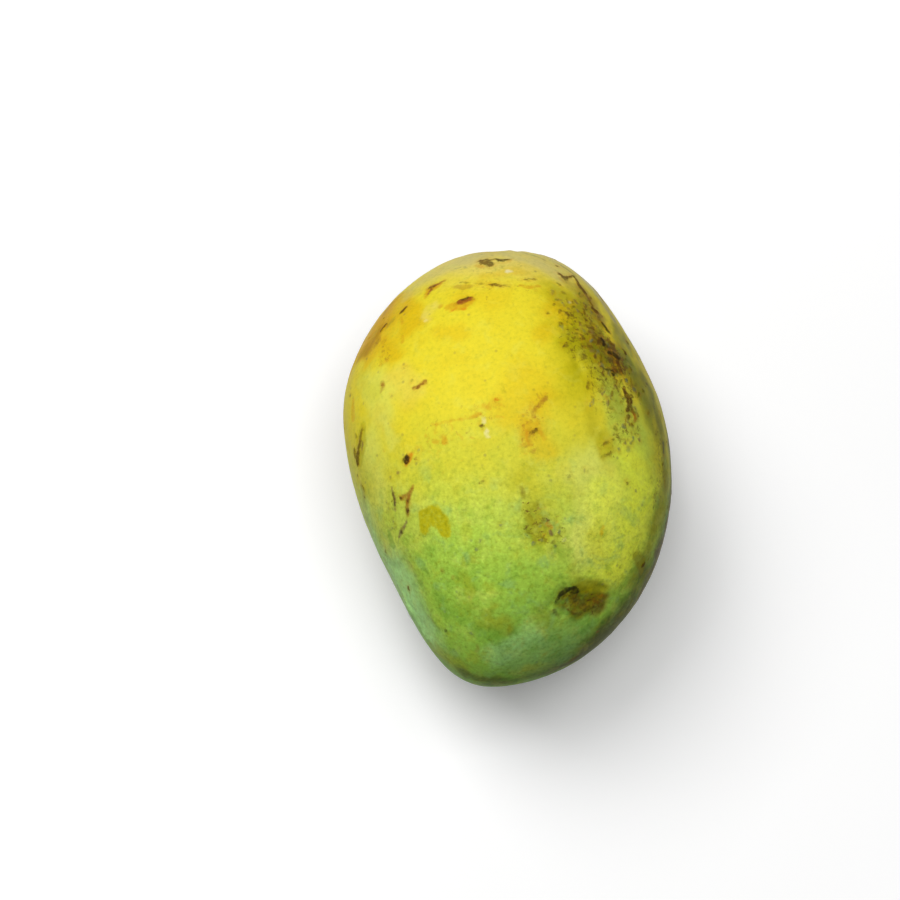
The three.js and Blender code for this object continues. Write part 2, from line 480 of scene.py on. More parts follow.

# %% [markdown]
# Past the shoulder the cheek turns towards the back. There it is a duller green full of
# specks, then a clear, pale lime. Lower on the flank the sage, lime and zest washes are
# painted light, brighter than the skin, and the rim's dark washes are painted shade where
# it curves down to the table, away from the lamps.

# %% The back's side of the cheek
WASHES += [
    ("lime", 0.85, 6, seen((28, 16, 2), (32, 10, 4), (32, 3, 3))),
    ("fern", 0.35, 4, seen((26, 22, 0.8), (29.6, 14, 1.2))),
    ("fern", 0.7, 5, seen((32, 27, 1), (35.4, 19, 1.4), (38, 10, 0.8))),
    ("moss", 0.45, 4, seen((31.6, 26.6, 0.8), (34.4, 20, 1.6), (37, 15.6, 0.8))),
    ("olive", 0.3, 2.6, seen((21, 14, 0.8), (21.4, 10, 1), (22, 7.6, 0.8))),
    ("mustard", 0.7, 2.5, seen((25, 6, 0.8), (26.4, 3, 1.2))),
    # Painted highlight: a broad pale sage patch where the lamps light the flank most.
    ("sage", 0.8, 8, seen((21, -2, 2), (26, -9, 3), (22, -20, 3))),
    # Painted light: lime and zest make the lower flank brighter than its skin, for light from that side.
    ("lime", 0.8, 6, seen((35, 4, 1.5), (34, -9, 2.4), (32, -22, 2), (27, -29, 2))),
    ("zest", 0.85, 6, seen((33, 1, 1.2), (35, -8, 2.4), (33.4, -17, 2.2), (30, -26, 1.8))),
    ("zest", 0.6, 7, seen((26, -9, 2), (27, -20, 2.4), (25, -30, 2))),
    ("mustard", 0.25, 3.5, seen((24.6, -18, 0.5), (24, -23, 1))),
    # Painted shade: from here to the end of the list the rim darkens towards the outline, round the tip and
    # a little past the outline, as shade where it turns away from the lamps.
    ("fern", 0.75, 3, seen((37.4, 20, 0.8), (40.8, 6, 0.6), (41.2, -6, 0.5))),
    ("moss", 0.5, 3.5, seen((35.4, 23.4, 0.5), (37.4, 18.6, 0.4), (40.6, 7, 0.4))),
    ("olive", 0.7, 4.5, seen((41.6, -4, 0.6), (39.8, -15, 0.8), (37, -24, 0.8), (33.6, -31, 0.8))),
    ("moss", 0.85, 4, turned((84, 2, 1), (86, -14, 1.4), (86, -26, 1.4), (86, -34, 1.4))),
    ("moss", 0.85, 4.5, seen((35.4, -31, 0.6), (29.8, -41, 0.8), (21, -49.4, 0.8), (11, -55.6, 0.6))),
    ("moss", 0.5, 7, seen((29, -41.6, 0.6), (23, -47, 1), (15, -52, 1.2), (8, -55.6, 0.6))),
    ("soot", 0.7, 6, turned((91, -32, 1), (89, -42, 1), (86, -49, 1), (82, -54, 0.8))),
    ("moss", 0.6, 7, turned((96, -34, 1), (98, -48, 1), (110, -56, 1))),
    ("moss", 0.6, 3, seen((2, -58, 0.6), (-6, -59, 0.6))),
]
print(len(WASHES), "washes so far")

# %% [markdown]
# The tip ripens last. It is green, with darker mottles, and a pale bluish band runs down to
# it along the belly's edge: a painted sheen, with the lime and sage beside it.

# %% The green end
WASHES += [
    # Painted sheen: the lime, mint and sage washes brighten the belly's edge towards the tip.
    ("lime", 0.6, 6, seen((-36, -14, 1.6), (-33, -21, 1.6), (-30.5, -27, 1))),
    ("mint", 0.85, 10, seen((-30, -29, 1.6), (-27.4, -34.4, 1.4), (-25.6, -38.4, 1), (-22.4, -45, 0.6))),
    ("sage", 0.4, 5, seen((-36, -13, 1.5), (-33, -20, 1.5))),
    # Painted shade: a narrow olive darkening along the belly's outline.
    ("olive", 0.6, 2, seen((-38.8, -8, 0.4), (-37.4, -16.5, 0.5))),
    ("leaf", 0.5, 7, seen((-16, -22, 3), (-8, -22, 3))),
    ("deep", 0.5, 3, seen((-19, -33, 0.6), (-16, -39.4, 1.2), (-12, -40, 0.8))),
    ("deep", 0.5, 3, seen((-7.4, -45, 1.4), (-3, -48.4, 1.2), (3.6, -48.8, 0.7))),
    ("olive", 0.5, 1.8, seen((-10.2, -26.3, 0.6), (-9.2, -25, 0.4))),
    ("deep", 0.4, 4.5, seen((-12, -31, 0.8), (-10.6, -36, 1.2))),
    ("mustard", 0.35, 2, seen((-11.1, -32, 0.4), (-11, -34.4, 0.6))),
    ("olive", 0.35, 2.2, seen((-11.4, -35.4, 0.5), (-10.6, -37, 0.5))),
    ("olive", 0.45, 1.6, seen((-5.6, -40.4, 0.7), (-4.4, -39.4, 0.4))),
    ("olive", 0.35, 2.4, seen((-8.4, -43, 0.5), (-2, -43.4, 0.6))),
    ("moss", 0.55, 1.2, seen((-1, -45, 0.4))),
    ("jade", 0.6, 6, seen((2, -52, 1.5), (11, -50, 2), (18, -45, 1))),
    ("mint", 0.4, 4, seen((-4, -51, 1.5), (6, -46, 2))),
    ("olive", 0.35, 3, seen((8, -40, 1), (11, -44, 1))),
    ("deep", 0.5, 2, seen((18.8, -43.2, 1), (21.6, -41.8, 0.6))),
    ("mustard", 0.4, 4, seen((-20, -50, 0.8), (-14, -54, 1))),
    ("moss", 0.75, 2.5, seen((-13, -55.4, 0.7), (-8, -57, 1.2), (-2, -57.6, 0.9))),
]
print(len(WASHES), "washes so far")

# %% [markdown]
# Low on the cheek the flesh was bruised and sank, and the skin there has a dull halo and a
# dark heart.

# %% The bruise
WASHES += [
    ("olive", 0.6, 3, seen((19.6, -32.4, 0.8), (22.6, -33.4, 1.2))),
    ("olive", 0.75, 3, seen((14.8, -38, 1), (19, -36, 2), (23.6, -35.6, 2))),
    ("moss", 0.8, 2, seen((15.8, -39, 1.2), (19, -37.6, 2.2), (23.6, -38, 1.8))),
    ("rust", 0.28, 1.8, seen((22.8, -40.6, 0.4), (25.2, -38.8, 0.5), (25, -36.4, 0.5))),
    ("moss", 0.5, 1.8, seen((15.6, -39.8, 0.5), (18.6, -40.4, 0.6), (21, -39.4, 0.8))),
    ("umber", 0.4, 1.6, seen((17.6, -36.2, 0.5), (18.8, -38, 0.6), (21.4, -38.8, 0.7), (24, -38, 0.6))),
    ("olive", 0.4, 1.6, seen((15.8, -37, 0.5), (16.6, -38.4, 0.5))),
    ("soot", 0.45, 1.3, seen((21, -39.2, 0.5), (23.2, -38.5, 0.5))),
    ("soot", 0.5, 1.4, seen((12.9, -37.2, 0.3), (14.8, -34.6, 0.5), (17.8, -33.8, 0.6))),
]
print(len(WASHES), "washes on the upper cheek")

# %% [markdown]
# The far sides follow what the same tree gave the near one: the back stayed green longer,
# the under cheek lay against a branch, and sap ran down from the stalk and stained it. The
# dark band next to the back's outline carries the painted shade of the near rim on round.

# %% Washes on the back, the belly and the under cheek
WASHES += [
    ("leaf", 0.5, 12, turned((110, 20, 4), (112, -20, 5))),
    ("green", 0.5, 10, turned((124, 0, 4), (118, -35, 4))),
    # Painted shade: the fern, olive, umber and moss washes next to the outline, turned 80 to 98 degrees,
    # carry the near rim's painted shade round the back flank.
    ("fern", 0.75, 8, turned((86, 30, 2), (94, 14, 3), (95, -2, 3), (92, -14, 2))),
    ("fern", 0.5, 4, turned((82, 34, 0.6), (87, 24, 0.8), (86, 16, 0.6), (90, 6, 1))),
    ("olive", 0.6, 6, turned((96, 2, 2), (98, -14, 3), (94, -28, 2))),
    ("umber", 0.7, 5, turned((92, -2, 1), (90, -12, 2.4), (88, -24, 3.4), (86, -34, 3))),
    ("moss", 0.5, 4, turned((82, -8, 1), (80, -20, 2))),
    ("moss", 0.8, 6, turned((94, -30, 2), (88, -42, 3), (80, -50, 3))),
    ("amber", 0.45, 9, turned((268, 38, 1), (276, 30, 2))),
    # Painted sheen: the mint band of the belly's edge, carried on round.
    ("mint", 0.55, 9, turned((276, -18, 2), (272, -30, 2), (270, -42, 2))),
    ("beige", 0.35, 14, at_stalk((0, 0, 9))),
    ("gold", 0.5, 9, turned((125, 34, 3), (150, 22, 3))),
    ("citron", 0.5, 9, turned((150, 5, 4), (165, -10, 4))),
    ("mustard", 0.45, 6, turned((105, 38, 2), (118, 28, 2))),
    ("olive", 0.4, 5, turned((88, 8, 1), (96, -2, 2))),
    ("amber", 0.35, 9, turned((205, 40, 2), (225, 28, 2))),
    ("gold", 0.5, 12, turned((235, 30, 2), (250, 18, 2))),
    ("gold", 0.4, 9, turned((258, 34, 1), (272, 26, 1))),
    ("sage", 0.5, 8, turned((262, 4, 2), (272, -14, 2))),
    ("mint", 0.35, 12, turned((250, -34, 2), (262, -26, 2))),
    ("mustard", 0.5, 6, turned((190, -2, 3), (205, -12, 2))),
    ("olive", 0.5, 4.5, turned((215, 4, 1), (222, -8, 2), (217, -20, 1))),
    ("moss", 0.4, 5, turned((140, -24, 1), (150, -34, 2))),
    ("moss", 0.35, 4, turned((176, 30, 1), (184, 20, 1.5))),
    ("jade", 0.5, 8, turned((180, -40, 3), (140, -46, 3))),
    ("deep", 0.5, 5, turned((200, -44, 2), (230, -46, 2))),
    ("umber", 0.25, 4, turned((98, -22, 1), (104, -30, 1))),
    ("beige", 0.3, 8, at_stalk((-9, 14, 1), (-15, 4, 1), (-11, -9, 1))),
    ("gold", 0.5, 5, at_stalk((12, -8, 1), (4, -16, 1))),
    ("amber", 0.3, 7, at_stalk((-7, -4, 1), (-6, -10, 1))),
    ("moss", 0.5, 4, at_stalk((0, 0, 5))),
]
print(len(WASHES), "washes in all")

# %% [markdown]
# A wash covers fully inside its stroke, and less and less the farther a point is outside it.

# %% Lay the washes
for colour, strength, fade_out, stroke in WASHES:
    covering = strength * smooth_step(fade_out, 0, outside_stroke(adrift, stroke))
    ground = laid_over(ground, colour, covering)
print("the washed ground runs from", ground.min(axis=0).round(3), "to", ground.max(axis=0).round(3))

# %% [markdown]
# ## Marks with an edge
# Scabs, dried sap, rubbed stains and specks each have a colour of their own and an edge.
# `STAINS` lie in the skin and come first, and `CRUSTS` are the dark, dry things on top.
# The number after the colour is how strongly the mark covers what is under it. The first
# stains are an odd, notched one on the cheek and the smaller ones near it.

# %% The notched stain
STAINS = [
    ("mustard", 0.92, seen((-22.6, -17.4, 1.5), (-22.2, -14.4, 2.2), (-19.8, -14, 2.6))),
    ("mustard", 0.92, seen((-20, -14.4, 2.4), (-17.8, -15.8, 2.1), (-16.8, -18.4, 1.6))),
    ("deep", 0.5, seen((-31.8, -19, 0.9), (-31, -21.6, 1.5))),
    ("gold", 0.75, seen((-41.3, 16.4, 0.9), (-41.3, 12, 1.3))),
    ("mustard", 0.6, seen((-38.6, 9.6, 1.4), (-39.2, 5, 2.8), (-39.6, 0.6, 1.8))),
    ("umber", 0.4, seen((-39.1, 8.4, 0.8), (-39.7, 4.4, 1.5), (-40, 0.8, 1.4))),
]
print(len(STAINS), "stains so far")

# %% [markdown]
# Near the stalk, drops of sap have burnt small brown smears into the skin. Most have a warm
# edge, so an amber stroke lies beside or under the rusty one.

# %% Smears near the stalk
STAINS += [
    ("amber", 0.7, seen((-17, 48.8, 0.3), (-19.2, 47.2, 1), (-21, 46.4, 1.2), (-22.2, 44.4, 0.4))),
    ("rust", 0.95, seen((-17.2, 48.6, 0.4), (-19.2, 47.5, 0.9), (-20.4, 46.8, 1.3), (-21.6, 45.4, 0.8))),
    ("amber", 0.45, seen((-8.6, 52.6, 0.5), (-7, 52.2, 0.8))),
    ("rust", 0.4, seen((-14, 46.9, 0.7), (-12, 46.8, 1.1), (-10.2, 47, 0.6))),
    ("amber", 0.6, seen((-16, 41.4, 1), (-13.4, 41.8, 1.6), (-10.6, 42.6, 1.2))),
    ("orange", 0.7, seen((-14.9, 40.9, 0.8), (-13.4, 41.4, 0.9), (-11.8, 41.3, 0.8))),
    ("rust", 0.7, seen((-13.6, 42.4, 0.8), (-11.6, 42.8, 1), (-9.8, 43.6, 0.6))),
    ("amber", 0.5, seen((-18, 41.8, 0.6))),
    ("amber", 0.6, seen((3, 47.2, 0.3), (5.4, 46.8, 0.6), (7.8, 47.2, 0.4))),
    ("slate", 0.3, seen((-14.4, 51.7, 0.3), (-12.8, 52.1, 0.35))),
    ("slate", 0.3, seen((-11.8, 52.2, 0.35), (-11, 51.9, 0.2))),
    ("umber", 0.35, seen((3.4, 56.2, 0.3), (5, 55.8, 0.6))),
    ("fern", 0.45, seen((6.2, 55.5, 0.7), (8.2, 54.8, 0.4))),
    ("umber", 0.3, seen((9, 54.4, 0.5), (9.8, 53.9, 0.3))),
    ("olive", 0.6, seen((13, 53.4, 0.5), (15.6, 51.8, 0.7), (17.8, 50, 0.5))),
    ("amber", 0.6, seen((-28.8, 38.4, 0.3), (-28.2, 37.4, 0.4))),
    ("amber", 0.6, seen((-28.4, 33.6, 0.4), (-28.3, 32.4, 0.4))),
    ("amber", 0.5, seen((-31.8, 35.6, 0.4))),
]
print(len(STAINS), "stains so far")

# %% [markdown]
# Twigs and leaves rubbed the cheek while it swelled, and left thin rusty streaks.

# %% Rusty streaks
STAINS += [
    ("rust", 0.85, seen((-25.2, 20, 0.4), (-23.7, 20.3, 0.5), (-22.1, 21.7, 0.45))),
    ("rust", 0.75, seen((-33.6, 21.5, 0.4), (-33.2, 20.2, 0.5), (-33.9, 18.9, 0.3))),
    ("rust", 0.6, seen((10, 17.6, 0.4), (8.2, 15.6, 0.4), (6.4, 13.6, 0.35))),
    ("rust", 0.65, seen((6.8, 12.4, 0.6))),
    ("amber", 0.6, seen((4.7, 8.6, 0.25), (5.2, 6.4, 0.5), (6, 4.8, 0.45))),
    ("rust", 0.5, seen((5.4, 7.4, 0.15), (5.8, 5.2, 0.25), (6.2, 4.6, 0.15))),
    ("amber", 0.5, seen((8.4, 8.6, 0.5), (9.4, 6.6, 0.5))),
    ("rust", 0.6, seen((6.5, 3.4, 0.6))),
    ("amber", 0.65, seen((-6.6, 15.2, 0.5), (-4.8, 14.6, 0.5))),
    ("amber", 0.5, seen((-2.8, 14.2, 0.35))),
    ("amber", 0.6, seen((-19.4, 10.4, 0.2), (-12.6, 11.6, 0.3), (-7.6, 12.9, 0.45))),
    ("amber", 0.6, seen((-22, 7.2, 0.45))),
    ("amber", 0.45, seen((-20, 5.8, 0.6), (-18.8, 5.4, 0.5))),
    ("amber", 0.65, seen((-17.6, 7.2, 0.5), (-17, 5.8, 0.8))),
    ("orange", 0.7, seen((-25.9, 2.5, 0.5), (-26.6, 1.2, 0.9), (-27.5, -0.5, 0.5))),
    ("umber", 0.5, seen((3.7, -6.6, 0.4), (3.9, -9, 0.5))),
    ("olive", 0.6, seen((7.4, -11.4, 0.8))),
    ("olive", 0.6, seen((5.2, -14.6, 1), (6.2, -16, 0.7))),
    ("amber", 0.6, seen((10.2, -16.4, 0.5), (11.6, -17.4, 0.4))),
    ("gold", 0.7, seen((25, -17.4, 0.5), (24.7, -19, 0.5))),
    ("rust", 0.35, seen((-17.7, -28.8, 0.7))),
    ("rust", 0.35, seen((-14.8, -30.6, 0.7))),
    ("rust", 0.4, seen((-8.5, -49, 0.35), (-8.4, -50.4, 0.3))),
]
print(len(STAINS), "stains so far")

# %% [markdown]
# A small scar forks near the belly's edge, brick red between its dark ends. The bruise has
# some blotches of its own.

# %% The branching scar, and blotches in the bruise
STAINS += [
    ("rust", 0.85, seen((-25.6, -6.4, 0.3), (-26.5, -8.4, 0.65), (-28.6, -9.4, 0.6))),
    ("rust", 0.85, seen((-26.7, -8.6, 0.7), (-26.8, -11, 0.7), (-26.9, -13.6, 0.5))),
    ("plum", 0.8, seen((-31, -6.6, 0.3), (-30.4, -9.2, 0.5), (-30.2, -12.6, 0.3))),
    ("plum", 0.75, seen((-27.2, -15.4, 0.3), (-28.5, -18.2, 0.55), (-29.5, -20.6, 0.2))),
    ("amber", 0.3, seen((24.4, -36.4, 0.5), (24.9, -35.8, 0.6))),
    ("mustard", 0.4, seen((20, -35, 0.6), (22, -34, 0.8))),
    ("deep", 0.6, seen((14.8, -37.6, 0.7))),
    ("deep", 0.6, seen((19.9, -36.8, 0.5))),
    ("umber", 0.6, seen((12.3, -39.6, 0.5), (13.6, -41.2, 0.6))),
]
print(len(STAINS), "stains so far")

# %% [markdown]
# The rim of the cheek has a few spots, and the skin under the sooty ones is dull. Of the
# cream flecks, the first and the fifth are painted glints, small highlights, and the others
# are pale spots.

# %% Spots on the rim, and pale flecks
STAINS += [
    ("olive", 0.7, seen((33.8, -24.8, 1.4), (35, -26.4, 2), (35.4, -29, 1))),
    ("umber", 0.65, seen((34.8, -26, 0.7), (35.4, -27.2, 1))),
    ("amber", 0.7, seen((33, 13.4, 0.5), (33.6, 12.2, 0.7))),
    ("mustard", 0.6, seen((31.6, 9.6, 0.3), (33.4, 10.4, 0.3))),
    ("slate", 0.5, seen((32, 3.8, 0.9))),
    # Painted glint: a small highlight.
    ("cream", 0.85, seen((-0.4, 51.1, 0.5), (0.4, 51, 0.5))),
    ("cream", 0.6, seen((-6.6, 11.7, 0.45), (-6.4, 10.6, 0.3))),
    ("cream", 0.65, seen((-6, 8.6, 0.4), (-5.3, 7, 0.5))),
    ("cream", 0.4, seen((-22.3, 37.9, 0.5))),
    # Painted glint: a small highlight.
    ("cream", 0.4, seen((16.3, 42.8, 0.45))),
    ("cream", 0.4, seen((14.6, -20.6, 0.5))),
]
print(len(STAINS), "stains on the upper cheek")

# %% [markdown]
# ## Crusts
# Scabs and dried sap are dark and dry, and they are the marks that the eye picks out first.
# A big one is built from several strokes, because no scab has one colour or a plain outline.
# The first is the two-lobed scab near the stalk, with the small ones beside it.

# %% Scabs near the stalk
CRUSTS = [
    ("umber", 0.8, seen((-7.2, 53.8, 0.8), (-6.2, 53.4, 1.3), (-5, 52.7, 1))),
    ("soot", 0.8, seen((-5.9, 54.2, 0.5), (-4.6, 53, 0.6))),
    ("plum", 0.8, seen((-6.6, 53.2, 0.5))),
    (
        "soot",
        0.85,
        seen((-5, 53.9, 0.4), (-3.4, 54.2, 0.4), (-2, 53.9, 0.9), (-0.6, 54, 0.6), (0.4, 54.2, 0.2)),
    ),
    ("umber", 0.8, seen((-5.2, 47.4, 0.3), (-4, 47.3, 0.4), (-2.2, 47.1, 0.25))),
    ("umber", 0.5, seen((-8.6, 47.7, 0.25), (-7, 47.6, 0.25))),
    ("umber", 0.5, seen((-1.2, 47.2, 0.25), (0.6, 46.9, 0.25))),
    ("umber", 0.45, seen((-13, 48.1, 0.25), (-10.6, 47.9, 0.25))),
    ("umber", 0.75, seen((4.2, 48.7, 0.35), (5.6, 48.9, 0.4), (7, 48.9, 0.4))),
    ("rust", 0.95, seen((-13.4, 42.7, 0.6), (-11.8, 43, 0.9), (-10, 43.7, 0.6))),
    ("soot", 0.85, seen((-12.8, 43.1, 0.35), (-10.6, 43.7, 0.5))),
    ("umber", 0.9, seen((-28.5, 40.3, 0.55), (-27.4, 41.4, 0.55))),
    ("umber", 0.85, seen((-34, 35.4, 0.5), (-32.8, 36.9, 0.55))),
    ("umber", 0.6, seen((-33.4, 38.6, 0.4))),
    ("umber", 0.8, seen((-19.6, 47.4, 0.35), (-20.8, 46.7, 0.6))),
]
print(len(CRUSTS), "crusts so far")

# %% [markdown]
# Small dark specks lie scattered down the belly side, thicker near the edge.

# %% Specks down the belly side
CRUSTS += [
    ("umber", 0.55, seen((-24.2, 20.1, 0.3), (-22.8, 20.9, 0.25))),
    ("umber", 0.45, seen((-33.4, 20.6, 0.3))),
    ("umber", 0.5, seen((-27.8, 25.3, 0.4))),
    ("umber", 0.5, seen((-25.7, 22.1, 0.35))),
    ("plum", 0.5, seen((-30.9, 18, 0.45))),
    ("orange", 0.8, seen((-3.2, 16.9, 0.45))),
    ("umber", 0.9, seen((-7.1, 9.9, 0.55))),
    ("soot", 0.95, seen((-26.9, 1.7, 0.6), (-27.4, 0.6, 0.9))),
    ("slate", 0.8, seen((-24, 3.3, 0.45))),
    ("rust", 0.7, seen((-24.8, 1.1, 0.4))),
    ("umber", 0.6, seen((-38.8, 9.2, 0.3), (-39.3, 6.8, 0.7))),
    ("umber", 0.75, seen((-39.2, 6.2, 0.4), (-39.8, 3.8, 1))),
    ("umber", 0.85, seen((-39.8, 3, 0.9), (-40.2, 0.6, 1.1), (-40.2, -0.6, 0.4))),
    ("umber", 0.7, seen((-41, 3.6, 0.6), (-40.7, 1.8, 0.8))),
    ("plum", 0.6, seen((-38.7, 5.2, 0.5), (-38.9, 3.6, 0.4))),
    ("umber", 0.5, seen((-40.6, 8, 0.35), (-40.4, 6.6, 0.5))),
    ("plum", 0.55, seen((-29.4, -2.7, 0.45))),
    ("slate", 0.55, seen((-31.3, -3.7, 0.4))),
    ("soot", 0.8, seen((-28.7, -9.5, 0.45))),
    ("soot", 0.7, seen((-26.6, -10.4, 0.4))),
    ("soot", 0.75, seen((-26.9, -12.4, 0.45), (-26.9, -13.6, 0.35))),
    ("soot", 0.55, seen((-30.8, -8, 0.35), (-30.3, -11.4, 0.35))),
    ("soot", 0.7, seen((-28.5, -18.3, 0.5))),
    ("slate", 0.75, seen((-30.6, -15.7, 0.5))),
    ("slate", 0.55, seen((-31.7, -17.7, 0.35), (-30, -17.2, 0.3))),
    ("slate", 0.5, seen((-32.5, -10.6, 0.35))),
    ("slate", 0.5, seen((-31.9, -12.4, 0.35))),
    ("slate", 0.5, seen((-33.3, -15.5, 0.35))),
    ("slate", 0.65, seen((-2.2, -16.7, 0.45))),
    ("slate", 0.6, seen((-8.5, -23, 0.45))),
    ("slate", 0.5, seen((-7.6, -20.8, 0.35))),
    ("umber", 0.5, seen((-7.7, -5.5, 0.3), (-6.6, -5, 0.3))),
    ("soot", 0.8, seen((-16.9, -44.7, 0.5))),
    ("slate", 0.55, seen((-16.6, -46.4, 0.4))),
    ("slate", 0.55, seen((-10.1, -45.5, 0.45))),
]
print(len(CRUSTS), "crusts so far")

# %% [markdown]
# Half of the bruise is rimmed with black, where its skin broke and dried, and the grey spot
# at the head of that rim is a painted glint.

# %% The bruise's black rim
CRUSTS += [
    ("soot", 0.85, seen((12.9, -37.4, 0.6), (13.2, -36.8, 0.45), (14, -35.4, 0.8), (14.9, -34.6, 0.7))),
    ("soot", 0.9, seen((15.4, -34.3, 0.9), (16.6, -33.8, 0.7), (17.8, -33.8, 1), (18.4, -34.5, 0.8))),
    ("soot", 0.8, seen((18, -34.9, 0.5), (17.2, -35, 0.5))),
    # Painted glint: a grey highlight at the head of the black rim.
    ("slate", 0.7, seen((17.4, -34.3, 0.4))),
    ("soot", 0.5, seen((17.7, -36.4, 0.5), (18.3, -37, 0.7))),
    ("umber", 0.55, seen((16.4, -40, 0.4), (18, -40.6, 0.5))),
    ("soot", 0.5, seen((20.6, -39.5, 0.5), (21.8, -39.1, 0.7), (23.4, -38.5, 0.5))),
    ("umber", 0.5, seen((23.4, -37.2, 0.4), (24.2, -37.6, 0.5))),
]
print(len(CRUSTS), "crusts so far")

# %% [markdown]
# The middle of the cheek is clean but for a few specks, which thicken towards the back.

# %% Specks on the middle and towards the back
CRUSTS += [
    ("umber", 0.8, seen((5.8, 7.9, 0.35), (7.5, 9.1, 0.4))),
    ("umber", 0.6, seen((16, -3.5, 0.45))),
    ("slate", 0.4, seen((20.2, -2.1, 0.4))),
    ("soot", 0.85, seen((31.4, -5.4, 0.5))),
    ("slate", 0.5, seen((33.7, -7.5, 0.35))),
    ("umber", 0.65, seen((24.9, 4.8, 0.5), (26.1, 5.4, 0.4))),
    ("umber", 0.5, seen((25, 1.8, 0.3), (26.6, 2.4, 0.35), (27.6, 3.2, 0.3))),
    ("slate", 0.7, seen((33.2, 6.7, 0.45))),
    ("slate", 0.65, seen((31, 5.3, 0.5))),
    ("slate", 0.6, seen((29.3, 3.5, 0.4))),
    ("slate", 0.85, seen((41, 5.4, 0.5), (41.2, 2.4, 0.45))),
    ("soot", 0.7, seen((41, -0.4, 0.5))),
    ("plum", 0.8, seen((11.2, -18.7, 0.55))),
    ("slate", 0.8, seen((13.3, -18.3, 0.5))),
    ("slate", 0.65, seen((12.2, -22.2, 0.5))),
    ("slate", 0.65, seen((6.5, -21.5, 0.5))),
    ("slate", 0.5, seen((8.8, -20.6, 0.4))),
    ("slate", 0.5, seen((14.6, -20.8, 0.35))),
    ("slate", 0.5, seen((8.4, -16.9, 0.4))),
    ("slate", 0.45, seen((10.4, -15, 0.4))),
    ("umber", 0.8, seen((35.7, -27.2, 0.8))),
]
print(len(CRUSTS), "crusts so far")

# %% [markdown]
# A long scar runs over the shoulder in short pieces, thick at some and faint at others.

# %% The scar over the shoulder
CRUSTS += [
    ("umber", 0.85, seen((13.4, 50.4, 0.5), (14.7, 49.3, 0.8), (16, 49.6, 0.4), (17.4, 49.9, 0.4))),
    ("umber", 0.85, seen((17.9, 49.2, 0.5), (18.8, 47.2, 0.75), (20.2, 45.4, 0.85))),
    ("plum", 0.65, seen((20.4, 45, 0.5), (21.6, 43.4, 0.6))),
    ("umber", 0.55, seen((21.4, 43.2, 0.4), (22.2, 42, 0.5))),
    ("umber", 0.85, seen((22.4, 41, 0.8), (23.4, 40.2, 0.9))),
    ("plum", 0.5, seen((24, 39.4, 0.5), (23.6, 38.4, 0.4))),
    ("soot", 0.9, seen((24.9, 37.3, 0.4), (25.8, 35.8, 0.7), (26.5, 34.8, 0.7))),
]
print(len(CRUSTS), "crusts so far")

# %% [markdown]
# Under the scar is the dirtiest patch, a cluster of sooty scabs, and below that one a mark
# with a hook at its end.

# %% The sooty cluster and the hooked mark
CRUSTS += [
    ("umber", 0.7, seen((19.2, 34, 0.4), (19.9, 33.3, 0.6))),
    ("umber", 0.4, seen((20.4, 34.4, 0.35), (22, 34.2, 0.45), (22.6, 33, 0.4))),
    ("umber", 0.5, seen((22.2, 32.2, 0.5), (23.4, 32, 0.5))),
    ("umber", 0.65, seen((21, 31, 0.5), (21.9, 30.8, 0.6))),
    ("soot", 0.9, seen((24.7, 32.8, 0.7), (25.4, 31.6, 0.9))),
    ("umber", 0.6, seen((27, 32, 0.6), (27.8, 31.4, 0.5))),
    ("soot", 0.85, seen((26.4, 29.6, 0.5), (27.8, 29, 0.8), (29.1, 28, 0.9))),
    ("umber", 0.85, seen((30.1, 30.4, 0.5), (30.9, 29.4, 0.6))),
    ("soot", 0.8, seen((31.6, 32, 0.6))),
    (
        "soot",
        0.9,
        seen((24.5, 25.6, 0.3), (25.9, 24.7, 0.5), (27.5, 24.6, 0.5), (28.1, 23.9, 0.6), (27.5, 23.4, 0.4)),
    ),
    ("umber", 0.8, seen((28.8, 27, 0.8), (29.6, 25.2, 0.7), (30.2, 23.8, 0.4))),
    ("soot", 0.75, seen((24.4, 27.1, 0.5))),
    ("umber", 0.75, seen((22.9, 28.6, 0.5), (23, 28, 0.4))),
    ("umber", 0.55, seen((14.4, 31.2, 0.35), (15, 31.4, 0.5), (15.8, 31.5, 0.3))),
    ("slate", 0.55, seen((18.2, 40.6, 0.45))),
    ("umber", 0.6, seen((21.2, 21.4, 0.4), (21, 20.2, 0.5))),
    ("umber", 0.5, seen((22.2, 17.3, 0.5))),
    ("slate", 0.8, seen((31.3, 22, 0.6))),
    ("umber", 0.7, seen((28.4, 20.6, 0.45), (29.2, 19.4, 0.6))),
    ("umber", 0.55, seen((27.4, 18.4, 0.6))),
    ("slate", 0.7, seen((33.4, 19.6, 0.7))),
    ("umber", 0.95, seen((30.8, 19.2, 0.6), (31.6, 17.8, 1), (32.2, 16.4, 1.1))),
    ("umber", 0.9, seen((32.2, 16.2, 1), (32.1, 15, 0.9), (31.6, 14.2, 0.6))),
    ("umber", 0.6, seen((32.4, 14.6, 0.8), (33.4, 13.2, 0.9))),
    ("rust", 0.55, seen((33.6, 12.9, 0.7), (33.9, 12.2, 0.6), (33.4, 11, 0.4))),
    ("umber", 0.7, seen((31.8, 12.7, 0.6), (31.7, 11.6, 0.4))),
]
print(len(CRUSTS), "crusts on the upper cheek")

# %% [markdown]
# The stalk end and the hidden sides get their marks too. Sap that dried round the stub ran
# down over the skin in dark drips.

